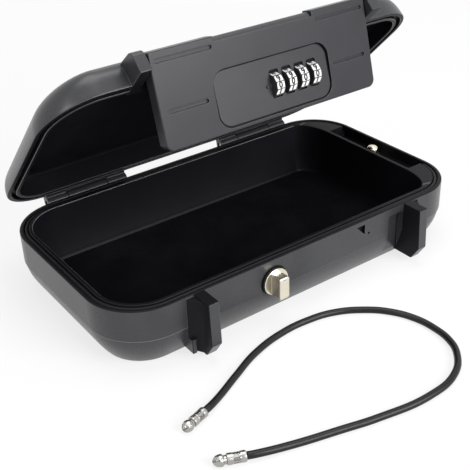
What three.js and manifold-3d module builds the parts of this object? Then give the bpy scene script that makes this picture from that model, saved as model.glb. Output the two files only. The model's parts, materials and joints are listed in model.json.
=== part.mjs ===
// A portable car safe: a steel tray with a hinged lid, a swinging lock flap and a tie-down cable.
// Millimetres, +Z up, the front towards -Y, the origin under the middle of the base.
// Every piece is drawn with the lid shut. The lid and the flap are then turned to their open rest.
import * as THREE from 'three';
import { mergeVertices } from 'three/addons/utils/BufferGeometryUtils.js';
import Module from 'manifold-3d';

const wasm = await Module();
wasm.setup();

// Clearances
const FIT_GAP = 0.3;
const RUN_GAP = 0.4;
const CUT_MARGIN = 1;

// How far a piece that is joined on enters the other one
const ROOT = 0.5;

// Tray plan, shared by the base and the lid
const LENGTH = 240;
const DEPTH = 132.2;
const END_X = LENGTH / 2;
const FRONT_Y = -DEPTH / 2;
const BACK_Y = DEPTH / 2;
const CORNER_RADIUS = 30.5;
const CORNER_STEPS = 7;
const RIM_WALL = 2.4;
const GROOVE_WIDTH = 2.8;
const LIP_WALL = 2.2;
const RIM_CHAMFER = 0.6;

// Base tray
const BASE_HEIGHT = 37.3;
const PARTING_HEIGHT = 18.6;
const PARTING_STEP = 0.6;
const BOTTOM_INSET = 8.8;
const FLOOR_THICKNESS = 2.6;
const FLOOR_WALL = 3.7;
const BASE_GROOVE_DEPTH = 4;
const GASKET_HEIGHT = 3.4;
const CHANNEL_WALL = 2.2;

// Cable channel at the right end of the base
const CHANNEL_WIDTH = 13.6;
const CHANNEL_LEFT = END_X - RIM_WALL - CHANNEL_WIDTH;
const COMPARTMENT_RIGHT = CHANNEL_LEFT - CHANNEL_WALL;
const CHANNEL_HALF_LENGTH = 36.5;
const CHANNEL_DEPTH = 7.3;
const STUD_FROM_END = 8.5;
const STUD_X = END_X - STUD_FROM_END;
const STUD_Y = 2.5;
const STUD_HEAD_RADIUS = 3.8;
const STUD_SHANK_RADIUS = 2.5;
const STUD_SHANK_LENGTH = 10;
const STUD_NECK_HEIGHT = 3.4;
const STUD_SEAT_RADIUS = 5.6;
const STUD_SEAT_DEPTH = 0.8;
const STUD_FLANGE_THICKNESS = 1;
const STUD_DOME = [[1, 0.4], [1, 1.6], [0.72, 3], [0.34, 3.6], [0, 3.7]];

// Front fins of the base, which flank the shut flap
const FIN_THICKNESS = 7.8;
const FIN_KNEE_REACH = 13.7;
const FIN_TOP_REACH = 12.6;
const FIN_FOOT_REACH = 8.2;
const FIN_KNEE_HEIGHT = 12.3;
const FIN_FOOT_HEIGHT = 4.1;
const FIN_TOP_DROP = 0.2;

// Front wall of the base between the fins
const POCKET_LEFT = 33.1;
const POCKET_SIZE = 6.4;
const POCKET_DROP = 3.1;
const POCKET_DEPTH = 2;
const PINHOLE_X = 42.8;
const PINHOLE_Z = 27.6;
const PINHOLE_RADIUS = 0.8;
const SIDE_RECESS_WIDTH = 11.6;
const SIDE_RECESS_BOTTOM = 6;
const SIDE_RECESS_DROP = 4.7;
const SIDE_RECESS_DEPTH = 4;

// Lock post on the front of the base
const POST_X = -25.6;
const POST_ABOVE_DIALS = 7.3;
const WASHER_RADIUS = 8.3;
const WASHER_THICKNESS = 0.9;
const DISC_RADIUS = 7.8;
const DISC_THICKNESS = 1.5;
const BLADE_WIDTH = 6.8;
const BLADE_HEIGHT = 13.2;
const BLADE_REACH = 7;
const BLADE_CORNER = 1.2;
const BLADE_ABOVE_DIALS = 6.4;
const NOTCH_DEPTH = 2.2;
const POST_SHANK_RADIUS = 2.5;
const NUT_RADIUS = 4.6;
const NUT_THICKNESS = 3;
const NUT_POCKET_DEPTH = 3.6;
const NUT_POCKET_MARGIN = 1;

// Lid tray
const LID_GAP = 0.6;
const LID_HEIGHT = 16.6;
const LID_RIM = BASE_HEIGHT + LID_GAP;
const LID_TOP = LID_RIM + LID_HEIGHT;
const LID_SKIN = 2.4;
const END_SHOULDER = 16.4;
const FRONT_SHOULDER = 9.4;
const LID_GROOVE_DEPTH = 3;
const LINER_THICKNESS = 1.5;
const LID_OPEN = 45.06;
const WEB_THICKNESS = 2.4;
const WEB_RIM_GAP = 0.1;
const WEB_SHELF = 5;
const WEB_BREAK = 3;
const SLOPE_TOP_REACH = 1.4;
const SLOPE_TOP_RISE = 11.3;
const SLOPE_BOTTOM_SETBACK = 6.8;
const SWING_ROOM = 6;

// Drops below the lid's top at which its outside and its room are drawn
const SHOULDER_DROPS = [11.5, 8, 5, 2.5, 0.8, 0];
const ROOM_DROPS = [10.5, 6.5, 4, LID_SKIN];

// Rear hinge
const HINGE_BEHIND = 4.04;
const HINGE_DROP = 2.33;
const HINGE_Y = BACK_Y + HINGE_BEHIND;
const HINGE_Z = BASE_HEIGHT - HINGE_DROP;
const HINGE_BARREL_RADIUS = 3.6;
const HINGE_PIN_RADIUS = 1.5;
const ARM_INNER = 36.4;
const ARM_WIDTH = 13.3;
const HINGE_FROM_END = 30;
const HINGE_OUTER = END_X - HINGE_FROM_END;
const ARM_OUTER = ARM_INNER + ARM_WIDTH;
const OUTER_ARM_INNER = HINGE_OUTER - ARM_WIDTH;
const ARM_RISE = 6;
const ARM_NOSE = 1;
const ARM_BACK_INSET = 0.2;
const HINGE_PIN_INSET = 0.6;

// Flap hinge, between the lid's cheeks
const CHEEK_THICKNESS = 6.45;
const CHEEK_REACH = 13.3;
const CHEEK_RISE = 13.3;
const CHEEK_NOSE = 4.4;
const CHEEK_BROW = { setback: 0.9, drop: 1.98 };
const CHEEK_CROWN = { setback: 3.4, drop: 1 };
const CHEEK_SKIN = 1.8;
const FLAP_PIN_RADIUS = 1.4;
const BRACKET_HALF = 31;
const BRACKET_RADIUS = 3;
const BRACKET_ROOT = 3;
const BRACKET_BELOW = 1;
const BRACKET_ABOVE = 2.6;
const BRACKET_NOTCH_BELOW = 1;
const BRACKET_SIDE_RISE = 0.8;

// Lock flap
const FACE_REACH = 11.4;
const FACE_Y = FRONT_Y - FACE_REACH;
const FLAP_AXIS_RISE = 7.6;
const FLAP_AXIS_Z = LID_RIM + FLAP_AXIS_RISE;
const FLAP_AXIS_DEPTH = 3.8;
const FLAP_ABOVE_AXIS = 3.8;
const FLAP_GROUND_GAP = 0.4;
const FLAP_BELOW_AXIS = FLAP_AXIS_Z - FLAP_GROUND_GAP;
const DIAL_FROM_BOTTOM = 16.6;
const DIAL_S = FLAP_BELOW_AXIS - DIAL_FROM_BOTTOM;
const FLAP_HALF = 68.5;
const FLAP_FIN_GAP = 1.1;
const FLAP_CHEEK_GAP = 1.4;
const FLAP_DEPTH = 7.3;
const FLAP_WALL = 2;
const FLAP_CORNER = 6;
const FLAP_TOP_CORNER = 1;
const FLAP_BAR = 4.4;
const FLAP_SWING = 30.06;
const GROOVE_HALF_WIDTH = 1.1;
const FACE_GROOVE_DEPTH = 0.8;
const FACE_GROOVE_MARGIN = 4.6;
const FACE_GROOVE_OUTER = FLAP_HALF - FACE_GROOVE_MARGIN;
const UPPER_GROOVE_INNER = 32.5;
const UPPER_GROOVE_S = 1;
const LOWER_GROOVE_INNER = 40.2;
const LOWER_GROOVE_RISE = 2.5;
const LOWER_GROOVE_S = DIAL_S - LOWER_GROOVE_RISE;
const PANEL_HALF = 37.3;
const PANEL_X = 1;
const PANEL_ABOVE_DIALS = 15.6;
const PANEL_TOP_S = DIAL_S - PANEL_ABOVE_DIALS;
const PANEL_BOTTOM_MARGIN = 2;
const PANEL_BOTTOM_S = FLAP_BELOW_AXIS - PANEL_BOTTOM_MARGIN;
const PANEL_CORNER = 8;
const PANEL_TOP_DEPTH = 1.2;
const PANEL_BOTTOM_DEPTH = 0.3;

// Back cover of the flap
const COVER_MARGIN = 6.5;
const COVER_HALF = FLAP_HALF - COVER_MARGIN;
const COVER_ABOVE_DIALS = 19.5;
const COVER_TOP_S = DIAL_S - COVER_ABOVE_DIALS;
const COVER_BOTTOM_MARGIN = 7.1;
const COVER_BOTTOM_S = FLAP_BELOW_AXIS - COVER_BOTTOM_MARGIN;
const COVER_SLOPE_LENGTH = 14;
const COVER_KNEE_S = COVER_BOTTOM_S - COVER_SLOPE_LENGTH;
const COVER_BACK = 9.8;
const COVER_EDGE_BACK = 8.3;
const POST_SLOT_HALF = 8.7;
const POST_SLOT_DEPTH = 5.6;
const BLADE_SLOT_HALF = 4.2;

// Screws of the back cover
const SCREW_MARGIN = 6;
const SCREW_X = COVER_HALF - SCREW_MARGIN;
const SCREW_EDGE = 5;
const SCREW_UPPER_S = COVER_TOP_S + SCREW_EDGE;
const SCREW_LOWER_S = COVER_BOTTOM_S - SCREW_EDGE;
const SCREW_HEAD_RADIUS = 1.7;
const SCREW_HEAD_THICKNESS = 0.8;
const SCREW_SHANK_RADIUS = 1;
const SCREW_SHANK_LENGTH = 4;
const SCREW_BOSS_RADIUS = 2.8;

// Combination wheels
const DIAL_COUNT = 4;
const DIAL_FACES = 10;
const FIRST_DIAL_X = 2;
const DIAL_PITCH = 8.3;
const DIAL_WIDTH = 5.4;
const DIAL_RADIUS = 6.3;
const DIAL_AXIS_DEPTH = 2.4;
const DIAL_BORE = 3.4;
const WINDOW_WIDTH = 6.2;
const SHAFT_RADIUS = 1.2;
const SHAFT_OVERHANG = 3;
const LUG_THICKNESS = 2;
const LUG_HALF_HEIGHT = 4;
const LUG_GAP = 1;
const GATE_WIDTH = 1.2;
const GATE_DEPTH = 0.9;
const DETENT_LENGTH = 32;
const DETENT_THICKNESS = 0.6;
const DETENT_DEPTH = 4.6;
const DETENT_STRIP_HEIGHT = 2.4;
const DETENT_BELOW_DIALS = 11.9;
const DETENT_BOTTOM_S = DIAL_S + DETENT_BELOW_DIALS;
const TONGUE_WIDTH = 3.6;

// Latch bolt and its spring
const BOLT_ABOVE_DIALS = 8.5;
const BOLT_HEIGHT = 2.5;
const BOLT_BOTTOM_S = DIAL_S - BOLT_ABOVE_DIALS;
const BOLT_TOP_S = BOLT_BOTTOM_S - BOLT_HEIGHT;
const BOLT_DEPTH = 3;
const BOLT_THICKNESS = 3;
const BOLT_ENTRY = 1.7;
const BOLT_TRAVEL = 2.5;
const BOLT_BODY_RIGHT = 31;
const FENCE_WIDTH = 1.2;
const FENCE_LENGTH = 1.2;
const BOLT_BLOCK_LENGTH = 9;
const BOLT_BLOCK_MARGIN = 1.1;
const SPRING_RADIUS = 1.3;
const SPRING_WIRE = 0.25;
const SPRING_TURNS = 7;
const SPRING_LENGTH = 9;
const SPRING_ENTRY = 5;
const RIB_THICKNESS = 1.6;
const GUIDE_LEFT = -14;
const GUIDE_RIGHT = -4;

// Cable, lying on the ground in front of the safe
const CABLE_RADIUS = 1.9;
const CABLE_SIDES = 8;
const CABLE_STEPS = 64;
const SLEEVE_RADIUS = 2.7;
const SLEEVE_LENGTH = 9;
const HEAD_RADIUS = 2.9;
const HEAD_LENGTH = 6;
const FITTING_Z = 3;
const FITTING_CHAMFER = { along: 0.5, drop: 0.4 };
const HEAD_SHOULDER = 1.2;
const CABLE_END_A = { x: -99.5, y: -106.4, toward: new THREE.Vector3(-14.7, -4.4, 0).normalize() };
const CABLE_END_B = { x: -101, y: -141, toward: new THREE.Vector3(-14.6, 6.3, 0).normalize() };
const CABLE_LEAD = 4;
const CABLE_ROUTE = [
  [-86.7, -100.9], [-72.3, -94], [-53.8, -85.8], [-32.6, -81.2], [-15.3, -81.2], [0.5, -84.6],
  [14.9, -93], [24.4, -102.7], [30.6, -115.4], [32.2, -127.7], [30.6, -139.4], [25.2, -149.2],
  [11.8, -159.2], [-8.6, -162.5], [-38.8, -158.3], [-57.5, -153.5], [-79.5, -147.6],
];

// Sizes that follow from the driving ones
const GROOVE_INNER = RIM_WALL + GROOVE_WIDTH;
const LIP_INNER = GROOVE_INNER + LIP_WALL;
const FLAP_AXIS_Y = FACE_Y + FLAP_AXIS_DEPTH;
const LAST_DIAL_X = FIRST_DIAL_X + (DIAL_COUNT - 1) * DIAL_PITCH;
const BLADE_FRONT = FRONT_Y - BLADE_REACH;
const BOLT_TIP = POST_X + BLADE_WIDTH / 2 - BOLT_ENTRY;
const CHANNEL_FLOOR = BASE_HEIGHT - CHANNEL_DEPTH;
const FIN_INNER = FLAP_HALF + FLAP_FIN_GAP;
const CHEEK_INNER = FLAP_HALF + FLAP_CHEEK_GAP;
const CHEEK_OUTER = CHEEK_INNER + CHEEK_THICKNESS;
const CHEEK_FRONT = FRONT_Y - CHEEK_REACH;
const CHEEK_TOP = LID_RIM + CHEEK_RISE;
const DIAL_Z = FLAP_AXIS_Z - DIAL_S;
const POST_Z = DIAL_Z + POST_ABOVE_DIALS;
const BLADE_Z = DIAL_Z + BLADE_ABOVE_DIALS;
const SLOPE_TOP = { y: FRONT_Y - SLOPE_TOP_REACH, z: LID_RIM + SLOPE_TOP_RISE };
const SLOPE_BOTTOM_Y = FRONT_Y + SLOPE_BOTTOM_SETBACK;

// Places on the shut flap: depth behind its face, and distance below its axis
const atDepth = (depth) => FACE_Y + depth;
const atS = (s) => FLAP_AXIS_Z - s;

// Finishes
const BLACK_METAL = { color: 0x37383b, roughness: 0.5, metalness: 0.4 };
const FLAP_METAL = { color: 0x5f5f64, roughness: 0.42, metalness: 0.4 };
const NICKEL = { color: 0xc9c4b4, roughness: 0.28, metalness: 0.95 };
const STEEL = { color: 0x9a9ca0, roughness: 0.35, metalness: 0.9 };
const RUBBER = { color: 0x151517, roughness: 0.85, metalness: 0 };
const FOAM = { color: 0x18181b, roughness: 0.95, metalness: 0 };
const WHEEL_WHITE = { color: 0xe6e6e4, roughness: 0.4, metalness: 0 };
const BRASS = { color: 0xb08d4a, roughness: 0.35, metalness: 0.9 };

// Turn a closed three.js geometry into a solid for joining and cutting
function solid(geometry) {
  const bare = geometry.clone();
  bare.deleteAttribute('normal');
  bare.deleteAttribute('uv');
  const merged = mergeVertices(bare, 1e-4);
  const mesh = new wasm.Mesh({
    numProp: 3,
    vertProperties: new Float32Array(merged.getAttribute('position').array),
    triVerts: new Uint32Array(merged.getIndex().array),
  });
  return new wasm.Manifold(mesh);
}

// Turn a solid back into a geometry
function geometryOf(shape) {
  const mesh = shape.getMesh();
  const geometry = new THREE.BufferGeometry();
  geometry.setAttribute('position', new THREE.BufferAttribute(mesh.vertProperties, 3));
  geometry.setIndex(new THREE.BufferAttribute(mesh.triVerts, 1));
  geometry.computeVertexNormals();
  return geometry;
}

function joined(shapes) {
  return shapes.reduce((sum, shape) => sum.add(shape));
}

function box(x0, x1, y0, y1, z0, z1) {
  const geometry = new THREE.BoxGeometry(x1 - x0, y1 - y0, z1 - z0);
  geometry.translate((x0 + x1) / 2, (y0 + y1) / 2, (z0 + z1) / 2);
  return solid(geometry);
}

// Round rods along X, Y and Z
function rodX(radius, x0, x1, y, z, sides = 20) {
  const geometry = new THREE.CylinderGeometry(radius, radius, x1 - x0, sides);
  geometry.rotateZ(Math.PI / 2);
  geometry.translate((x0 + x1) / 2, y, z);
  return solid(geometry);
}

function rodY(radius, y0, y1, x, z, sides = 24) {
  const geometry = new THREE.CylinderGeometry(radius, radius, y1 - y0, sides);
  geometry.translate(x, (y0 + y1) / 2, z);
  return solid(geometry);
}

function rodZ(radius, z0, z1, x, y, sides = 24) {
  const geometry = new THREE.CylinderGeometry(radius, radius, z1 - z0, sides);
  geometry.rotateX(Math.PI / 2);
  geometry.translate(x, y, (z0 + z1) / 2);
  return solid(geometry);
}

// A profile of [y, z] points carried along X
function prismX(points, x0, x1) {
  const shape = new THREE.Shape(points.map(([y, z]) => new THREE.Vector2(y, z)));
  const geometry = new THREE.ExtrudeGeometry(shape, { depth: x1 - x0, bevelEnabled: false });
  geometry.applyMatrix4(new THREE.Matrix4().set(0, 0, 1, x0, 1, 0, 0, 0, 0, 1, 0, 0, 0, 0, 0, 1));
  return solid(geometry);
}

// An outline in X and Z carried along Y from y0 to y1
function plateY(shape, y0, y1, segments = 5) {
  const geometry = new THREE.ExtrudeGeometry(shape, {
    depth: y1 - y0,
    bevelEnabled: false,
    curveSegments: segments,
  });
  geometry.rotateX(Math.PI / 2);
  geometry.translate(0, y1, 0);
  return solid(geometry);
}

// A rectangle with its own radius at the upper and the lower corners
function roundedRectangle(x0, x1, y0, y1, lower, upper = lower) {
  const shape = new THREE.Shape();
  shape.moveTo(x0 + lower, y0);
  shape.lineTo(x1 - lower, y0);
  shape.absarc(x1 - lower, y0 + lower, lower, -Math.PI / 2, 0);
  shape.lineTo(x1, y1 - upper);
  shape.absarc(x1 - upper, y1 - upper, upper, 0, Math.PI / 2);
  shape.lineTo(x0 + upper, y1);
  shape.absarc(x0 + upper, y1 - upper, upper, Math.PI / 2, Math.PI);
  shape.lineTo(x0, y0 + lower);
  shape.absarc(x0 + lower, y0 + lower, lower, Math.PI, 1.5 * Math.PI);
  return shape;
}

// A solid over the tray plan, drawn in from it by each level's own inset along X and Y
function tray(levels) {
  const shape = roundedRectangle(-END_X, END_X, FRONT_Y, BACK_Y, CORNER_RADIUS);
  const count = levels.length - 1;
  const geometry = new THREE.ExtrudeGeometry(shape, {
    depth: count,
    steps: count,
    bevelEnabled: false,
    curveSegments: CORNER_STEPS,
  });
  const position = geometry.getAttribute('position');
  const coreX = END_X - CORNER_RADIUS;
  const coreY = BACK_Y - CORNER_RADIUS;
  for (let i = 0; i < position.count; i += 1) {
    const [z, insetX, insetY = insetX] = levels[Math.round(position.getZ(i))];
    const x = THREE.MathUtils.clamp(position.getX(i), -coreX, coreX);
    const y = THREE.MathUtils.clamp(position.getY(i), -coreY, coreY);
    const dx = (position.getX(i) - x) * (1 - insetX / CORNER_RADIUS);
    const dy = (position.getY(i) - y) * (1 - insetY / CORNER_RADIUS);
    position.setXYZ(i, x + dx, y + dy, z);
  }
  return solid(geometry);
}

// A wall of the tray plan between two insets and two heights
function trayRing(outer, inner, z0, z1) {
  return tray([[z0, outer], [z1, outer]]).subtract(
    tray([[z0 - CUT_MARGIN, inner], [z1 + CUT_MARGIN, inner]]),
  );
}

// How far a rounded shoulder of the lid has come in at a height
function shoulderInset(z, radius) {
  const rise = z - (LID_TOP - radius);
  return rise <= 0 ? 0 : radius - Math.sqrt(Math.max(0, radius * radius - rise * rise));
}

// How far the base's lower skin has come in at a height
function bottomInset(z) {
  const drop = 1 - z / PARTING_HEIGHT;
  return PARTING_STEP + (BOTTOM_INSET - PARTING_STEP) * drop ** 1.7;
}

function baseOutside() {
  const heights = [0, 0.13, 0.32, 0.6, 1];
  const levels = heights.map((share) => {
    const z = share * PARTING_HEIGHT;
    return [z, bottomInset(z)];
  });
  levels.push([PARTING_HEIGHT + PARTING_STEP, 0]);
  levels.push([BASE_HEIGHT - RIM_CHAMFER, 0]);
  levels.push([BASE_HEIGHT, RIM_CHAMFER]);
  return tray(levels);
}

// How far the compartment's wall is in from the plan at a height
function compartmentInset(z) {
  return Math.max(LIP_INNER, FLOOR_WALL + bottomInset(Math.min(z, PARTING_HEIGHT)));
}

// The part of a solid that lies left of the wall between the compartment and the channel
function leftOfChannel(shape, clearance = 0) {
  const limit = COMPARTMENT_RIGHT - clearance;
  return shape.intersect(box(-LENGTH, limit, -DEPTH, DEPTH, -LID_TOP, 2 * LID_TOP));
}

function compartment() {
  const heights = [FLOOR_THICKNESS, PARTING_HEIGHT / 2, BASE_HEIGHT + CUT_MARGIN];
  return leftOfChannel(tray(heights.map((z) => [z, compartmentInset(z)])));
}

function fin(side) {
  const root = FRONT_Y + RIM_WALL / 2;
  const footRoot = FRONT_Y + BOTTOM_INSET;
  const top = BASE_HEIGHT - FIN_TOP_DROP;
  const profile = [
    [root, top],
    [FRONT_Y - FIN_TOP_REACH, top],
    [FRONT_Y - FIN_KNEE_REACH, FIN_KNEE_HEIGHT],
    [FRONT_Y - FIN_FOOT_REACH, FIN_FOOT_HEIGHT],
    [footRoot, FIN_FOOT_HEIGHT],
  ];
  const outer = FIN_INNER + FIN_THICKNESS;
  return side < 0 ? prismX(profile, -outer, -FIN_INNER) : prismX(profile, FIN_INNER, outer);
}

// Barrel of the rear hinge, with the web that carries it from the base's back wall
function baseKnuckle(x0, x1) {
  const low = HINGE_Z - HINGE_BARREL_RADIUS;
  const web = box(x0, x1, BACK_Y - RIM_WALL, HINGE_Y, low, HINGE_Z - ROOT);
  return web.add(rodX(HINGE_BARREL_RADIUS, x0, x1, HINGE_Y, HINGE_Z));
}

// Barrel of the rear hinge, with the arm that carries it from the lid's back wall
function lidKnuckle(x0, x1) {
  const arm = prismX([
    [BACK_Y - RIM_WALL, LID_RIM + FIT_GAP],
    [BACK_Y + RUN_GAP, LID_RIM + FIT_GAP],
    [HINGE_Y - ARM_NOSE, HINGE_Z],
    [HINGE_Y + HINGE_BARREL_RADIUS - ARM_BACK_INSET, HINGE_Z + ARM_NOSE],
    [HINGE_Y - ARM_NOSE, LID_RIM + ARM_RISE],
    [BACK_Y - RIM_WALL, LID_RIM + ARM_RISE],
  ], x0, x1);
  return arm.add(rodX(HINGE_BARREL_RADIUS, x0, x1, HINGE_Y, HINGE_Z));
}

// Runs [x0, x1] mirrored onto both sides
function bothSides(x0, x1) {
  return [[-x1, -x0], [x0, x1]];
}

function hingeBores() {
  const radius = HINGE_PIN_RADIUS + FIT_GAP;
  return bothSides(ARM_INNER - CUT_MARGIN, HINGE_OUTER + CUT_MARGIN)
    .map(([x0, x1]) => rodX(radius, x0, x1, HINGE_Y, HINGE_Z, 12));
}

function frontCuts() {
  const outside = FRONT_Y - CUT_MARGIN;
  const sideRecess = box(
    FIN_INNER - SIDE_RECESS_WIDTH, FIN_INNER, outside, FRONT_Y + SIDE_RECESS_DEPTH,
    SIDE_RECESS_BOTTOM, BASE_HEIGHT - SIDE_RECESS_DROP,
  );
  const pocketTop = BASE_HEIGHT - POCKET_DROP;
  const pocketShape = new THREE.Shape([
    new THREE.Vector2(POCKET_LEFT, pocketTop),
    new THREE.Vector2(POCKET_LEFT + POCKET_SIZE, pocketTop - POCKET_SIZE),
    new THREE.Vector2(POCKET_LEFT + POCKET_SIZE, pocketTop),
  ]);
  const pocket = plateY(pocketShape, outside, FRONT_Y + POCKET_DEPTH);
  const pinhole = rodY(PINHOLE_RADIUS, outside, FRONT_Y + POCKET_DEPTH, PINHOLE_X, PINHOLE_Z, 10);
  const boreRadius = POST_SHANK_RADIUS + FIT_GAP;
  const bore = rodY(boreRadius, outside, FRONT_Y + 2 * LIP_INNER, POST_X, POST_Z, 16);
  const nutDepth = FRONT_Y + LIP_INNER - NUT_POCKET_DEPTH;
  const nutRoom = NUT_RADIUS + NUT_POCKET_MARGIN;
  const nutPocket = rodY(nutRoom, nutDepth, FRONT_Y + 2 * LIP_INNER, POST_X, POST_Z, 16);
  return joined([sideRecess, pocket, pinhole, bore, nutPocket]);
}

function channelCut() {
  const channel = box(
    CHANNEL_LEFT, END_X - RIM_WALL, -CHANNEL_HALF_LENGTH, CHANNEL_HALF_LENGTH,
    CHANNEL_FLOOR, BASE_HEIGHT + CUT_MARGIN,
  );
  const seatTop = CHANNEL_FLOOR + CUT_MARGIN;
  const seat = rodZ(STUD_SEAT_RADIUS, CHANNEL_FLOOR - STUD_SEAT_DEPTH, seatTop, STUD_X, STUD_Y);
  const boreDepth = STUD_SEAT_DEPTH + STUD_SHANK_LENGTH + FIT_GAP;
  const bore = rodZ(
    STUD_SHANK_RADIUS + FIT_GAP, CHANNEL_FLOOR - boreDepth, seatTop, STUD_X, STUD_Y, 16,
  );
  return joined([channel, seat, bore]);
}

function baseShell() {
  let shell = baseOutside();
  shell = shell.subtract(compartment());
  const grooveFloor = BASE_HEIGHT - BASE_GROOVE_DEPTH;
  shell = shell.subtract(trayRing(RIM_WALL, GROOVE_INNER, grooveFloor, BASE_HEIGHT + CUT_MARGIN));
  shell = shell.subtract(channelCut());
  shell = joined([shell, fin(-1), fin(1)]);
  shell = shell.subtract(frontCuts());
  const knuckles = bothSides(ARM_OUTER + RUN_GAP, OUTER_ARM_INNER - RUN_GAP)
    .map(([x0, x1]) => baseKnuckle(x0, x1));
  shell = joined([shell, ...knuckles]);
  return hingeBores().reduce((rest, bore) => rest.subtract(bore), shell);
}

function rimGasket() {
  const bottom = BASE_HEIGHT - BASE_GROOVE_DEPTH + FIT_GAP;
  const ring = trayRing(
    RIM_WALL + FIT_GAP, GROOVE_INNER - FIT_GAP, bottom, bottom + GASKET_HEIGHT,
  );
  const reach = CHANNEL_HALF_LENGTH + CUT_MARGIN;
  return ring.subtract(box(COMPARTMENT_RIGHT, LENGTH, -reach, reach, 0, LID_TOP));
}

function baseLiner() {
  const bottom = FLOOR_THICKNESS + FIT_GAP;
  const inset = compartmentInset(FLOOR_THICKNESS) + FIT_GAP;
  return leftOfChannel(tray([[bottom, inset], [bottom + LINER_THICKNESS, inset]]), FIT_GAP);
}

// Disc, blade and threaded shank of the lock post, in one piece
function lockPost() {
  const washerFront = FRONT_Y - FIT_GAP - WASHER_THICKNESS;
  const discBack = washerFront - FIT_GAP;
  const discFront = discBack - DISC_THICKNESS;
  const disc = rodY(DISC_RADIUS, discFront, discBack, POST_X, POST_Z, 32);
  const half = BLADE_WIDTH / 2;
  const outline = roundedRectangle(
    POST_X - half, POST_X + half,
    BLADE_Z - BLADE_HEIGHT / 2, BLADE_Z + BLADE_HEIGHT / 2, BLADE_CORNER,
  );
  const blade = plateY(outline, BLADE_FRONT, discBack);
  const notch = box(
    POST_X + half - NOTCH_DEPTH, POST_X + half + CUT_MARGIN,
    atDepth(BOLT_DEPTH - FIT_GAP), atDepth(BOLT_DEPTH + BOLT_THICKNESS + FIT_GAP),
    atS(BOLT_BOTTOM_S + FIT_GAP), atS(BOLT_TOP_S - FIT_GAP),
  );
  const shankEnd = FRONT_Y + LIP_INNER - NUT_POCKET_DEPTH + FIT_GAP + NUT_THICKNESS;
  const shank = rodY(POST_SHANK_RADIUS, discFront + ROOT, shankEnd, POST_X, POST_Z, 16);
  return joined([disc, blade.subtract(notch), shank]);
}

function postWasher() {
  const y1 = FRONT_Y - FIT_GAP;
  const bore = POST_SHANK_RADIUS + FIT_GAP;
  return rodY(WASHER_RADIUS, y1 - WASHER_THICKNESS, y1, POST_X, POST_Z, 32)
    .subtract(rodY(bore, y1 - 2 * WASHER_THICKNESS, y1 + CUT_MARGIN, POST_X, POST_Z, 16));
}

function postNut() {
  const y0 = FRONT_Y + LIP_INNER - NUT_POCKET_DEPTH + FIT_GAP;
  const bore = POST_SHANK_RADIUS + FIT_GAP;
  return rodY(NUT_RADIUS, y0, y0 + NUT_THICKNESS, POST_X, POST_Z, 6)
    .subtract(rodY(bore, y0 - CUT_MARGIN, y0 + 2 * NUT_THICKNESS, POST_X, POST_Z, 16));
}

// Domed stud that the cable's loop is held on
function cableStud() {
  const seat = CHANNEL_FLOOR - STUD_SEAT_DEPTH + FIT_GAP;
  const neckTop = seat + STUD_NECK_HEIGHT;
  const flange = STUD_SEAT_RADIUS - FIT_GAP;
  const profile = [
    [0, seat - STUD_SHANK_LENGTH],
    [STUD_SHANK_RADIUS, seat - STUD_SHANK_LENGTH],
    [STUD_SHANK_RADIUS, seat],
    [flange, seat],
    [flange, seat + STUD_FLANGE_THICKNESS],
    [STUD_SHANK_RADIUS, seat + STUD_FLANGE_THICKNESS],
    [STUD_SHANK_RADIUS, neckTop],
    ...STUD_DOME.map(([share, rise]) => [STUD_HEAD_RADIUS * share, neckTop + rise]),
  ];
  const points = profile.map(([r, z]) => new THREE.Vector2(r, z));
  const geometry = new THREE.LatheGeometry(points, 24);
  geometry.rotateX(Math.PI / 2);
  geometry.translate(STUD_X, STUD_Y, 0);
  return solid(geometry);
}

function hingePin(side) {
  const reach = [ARM_INNER + HINGE_PIN_INSET, HINGE_OUTER - HINGE_PIN_INSET];
  const [x0, x1] = side < 0 ? [-reach[1], -reach[0]] : reach;
  return rodX(HINGE_PIN_RADIUS, x0, x1, HINGE_Y, HINGE_Z, 12);
}

function lidOutside() {
  const heights = [LID_RIM + RIM_CHAMFER, ...SHOULDER_DROPS.map((drop) => LID_TOP - drop)];
  const levels = heights.map(
    (z) => [z, shoulderInset(z, END_SHOULDER), shoulderInset(z, FRONT_SHOULDER)],
  );
  return tray([[LID_RIM, RIM_CHAMFER], ...levels]);
}

// Room inside the lid, whose roof follows the shoulders one skin inside them
function lidRoomInset(z, radius) {
  return Math.max(LIP_INNER, LID_SKIN + shoulderInset(Math.min(z + LID_SKIN, LID_TOP), radius));
}

function lidRoom() {
  const heights = [LID_RIM - CUT_MARGIN, ...ROOM_DROPS.map((drop) => LID_TOP - drop)];
  return tray(heights.map(
    (z) => [z, lidRoomInset(z, END_SHOULDER), lidRoomInset(z, FRONT_SHOULDER)],
  ));
}

// Front of the lid between the cheeks: a sloped web that leaves room for the flap's inward swing
function slopedWeb() {
  const low = LID_RIM + WEB_RIM_GAP;
  const profile = [
    [SLOPE_TOP.y + CUT_MARGIN, SLOPE_TOP.z],
    [SLOPE_BOTTOM_Y - CUT_MARGIN, low],
    [SLOPE_BOTTOM_Y + WEB_THICKNESS, low],
    [SLOPE_TOP.y + WEB_SHELF + WEB_THICKNESS, SLOPE_TOP.z + WEB_THICKNESS],
    [SLOPE_TOP.y + WEB_BREAK, SLOPE_TOP.z + CUT_MARGIN],
  ];
  return prismX(profile, -CHEEK_INNER, CHEEK_INNER);
}

function swingCut() {
  const profile = [
    [SLOPE_TOP.y, SLOPE_TOP.z],
    [SLOPE_TOP.y - SWING_ROOM, SLOPE_TOP.z],
    [SLOPE_TOP.y - SWING_ROOM, LID_RIM - CUT_MARGIN],
    [SLOPE_BOTTOM_Y + ROOT, LID_RIM - CUT_MARGIN],
  ];
  return prismX(profile, -CHEEK_INNER, CHEEK_INNER);
}

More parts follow.
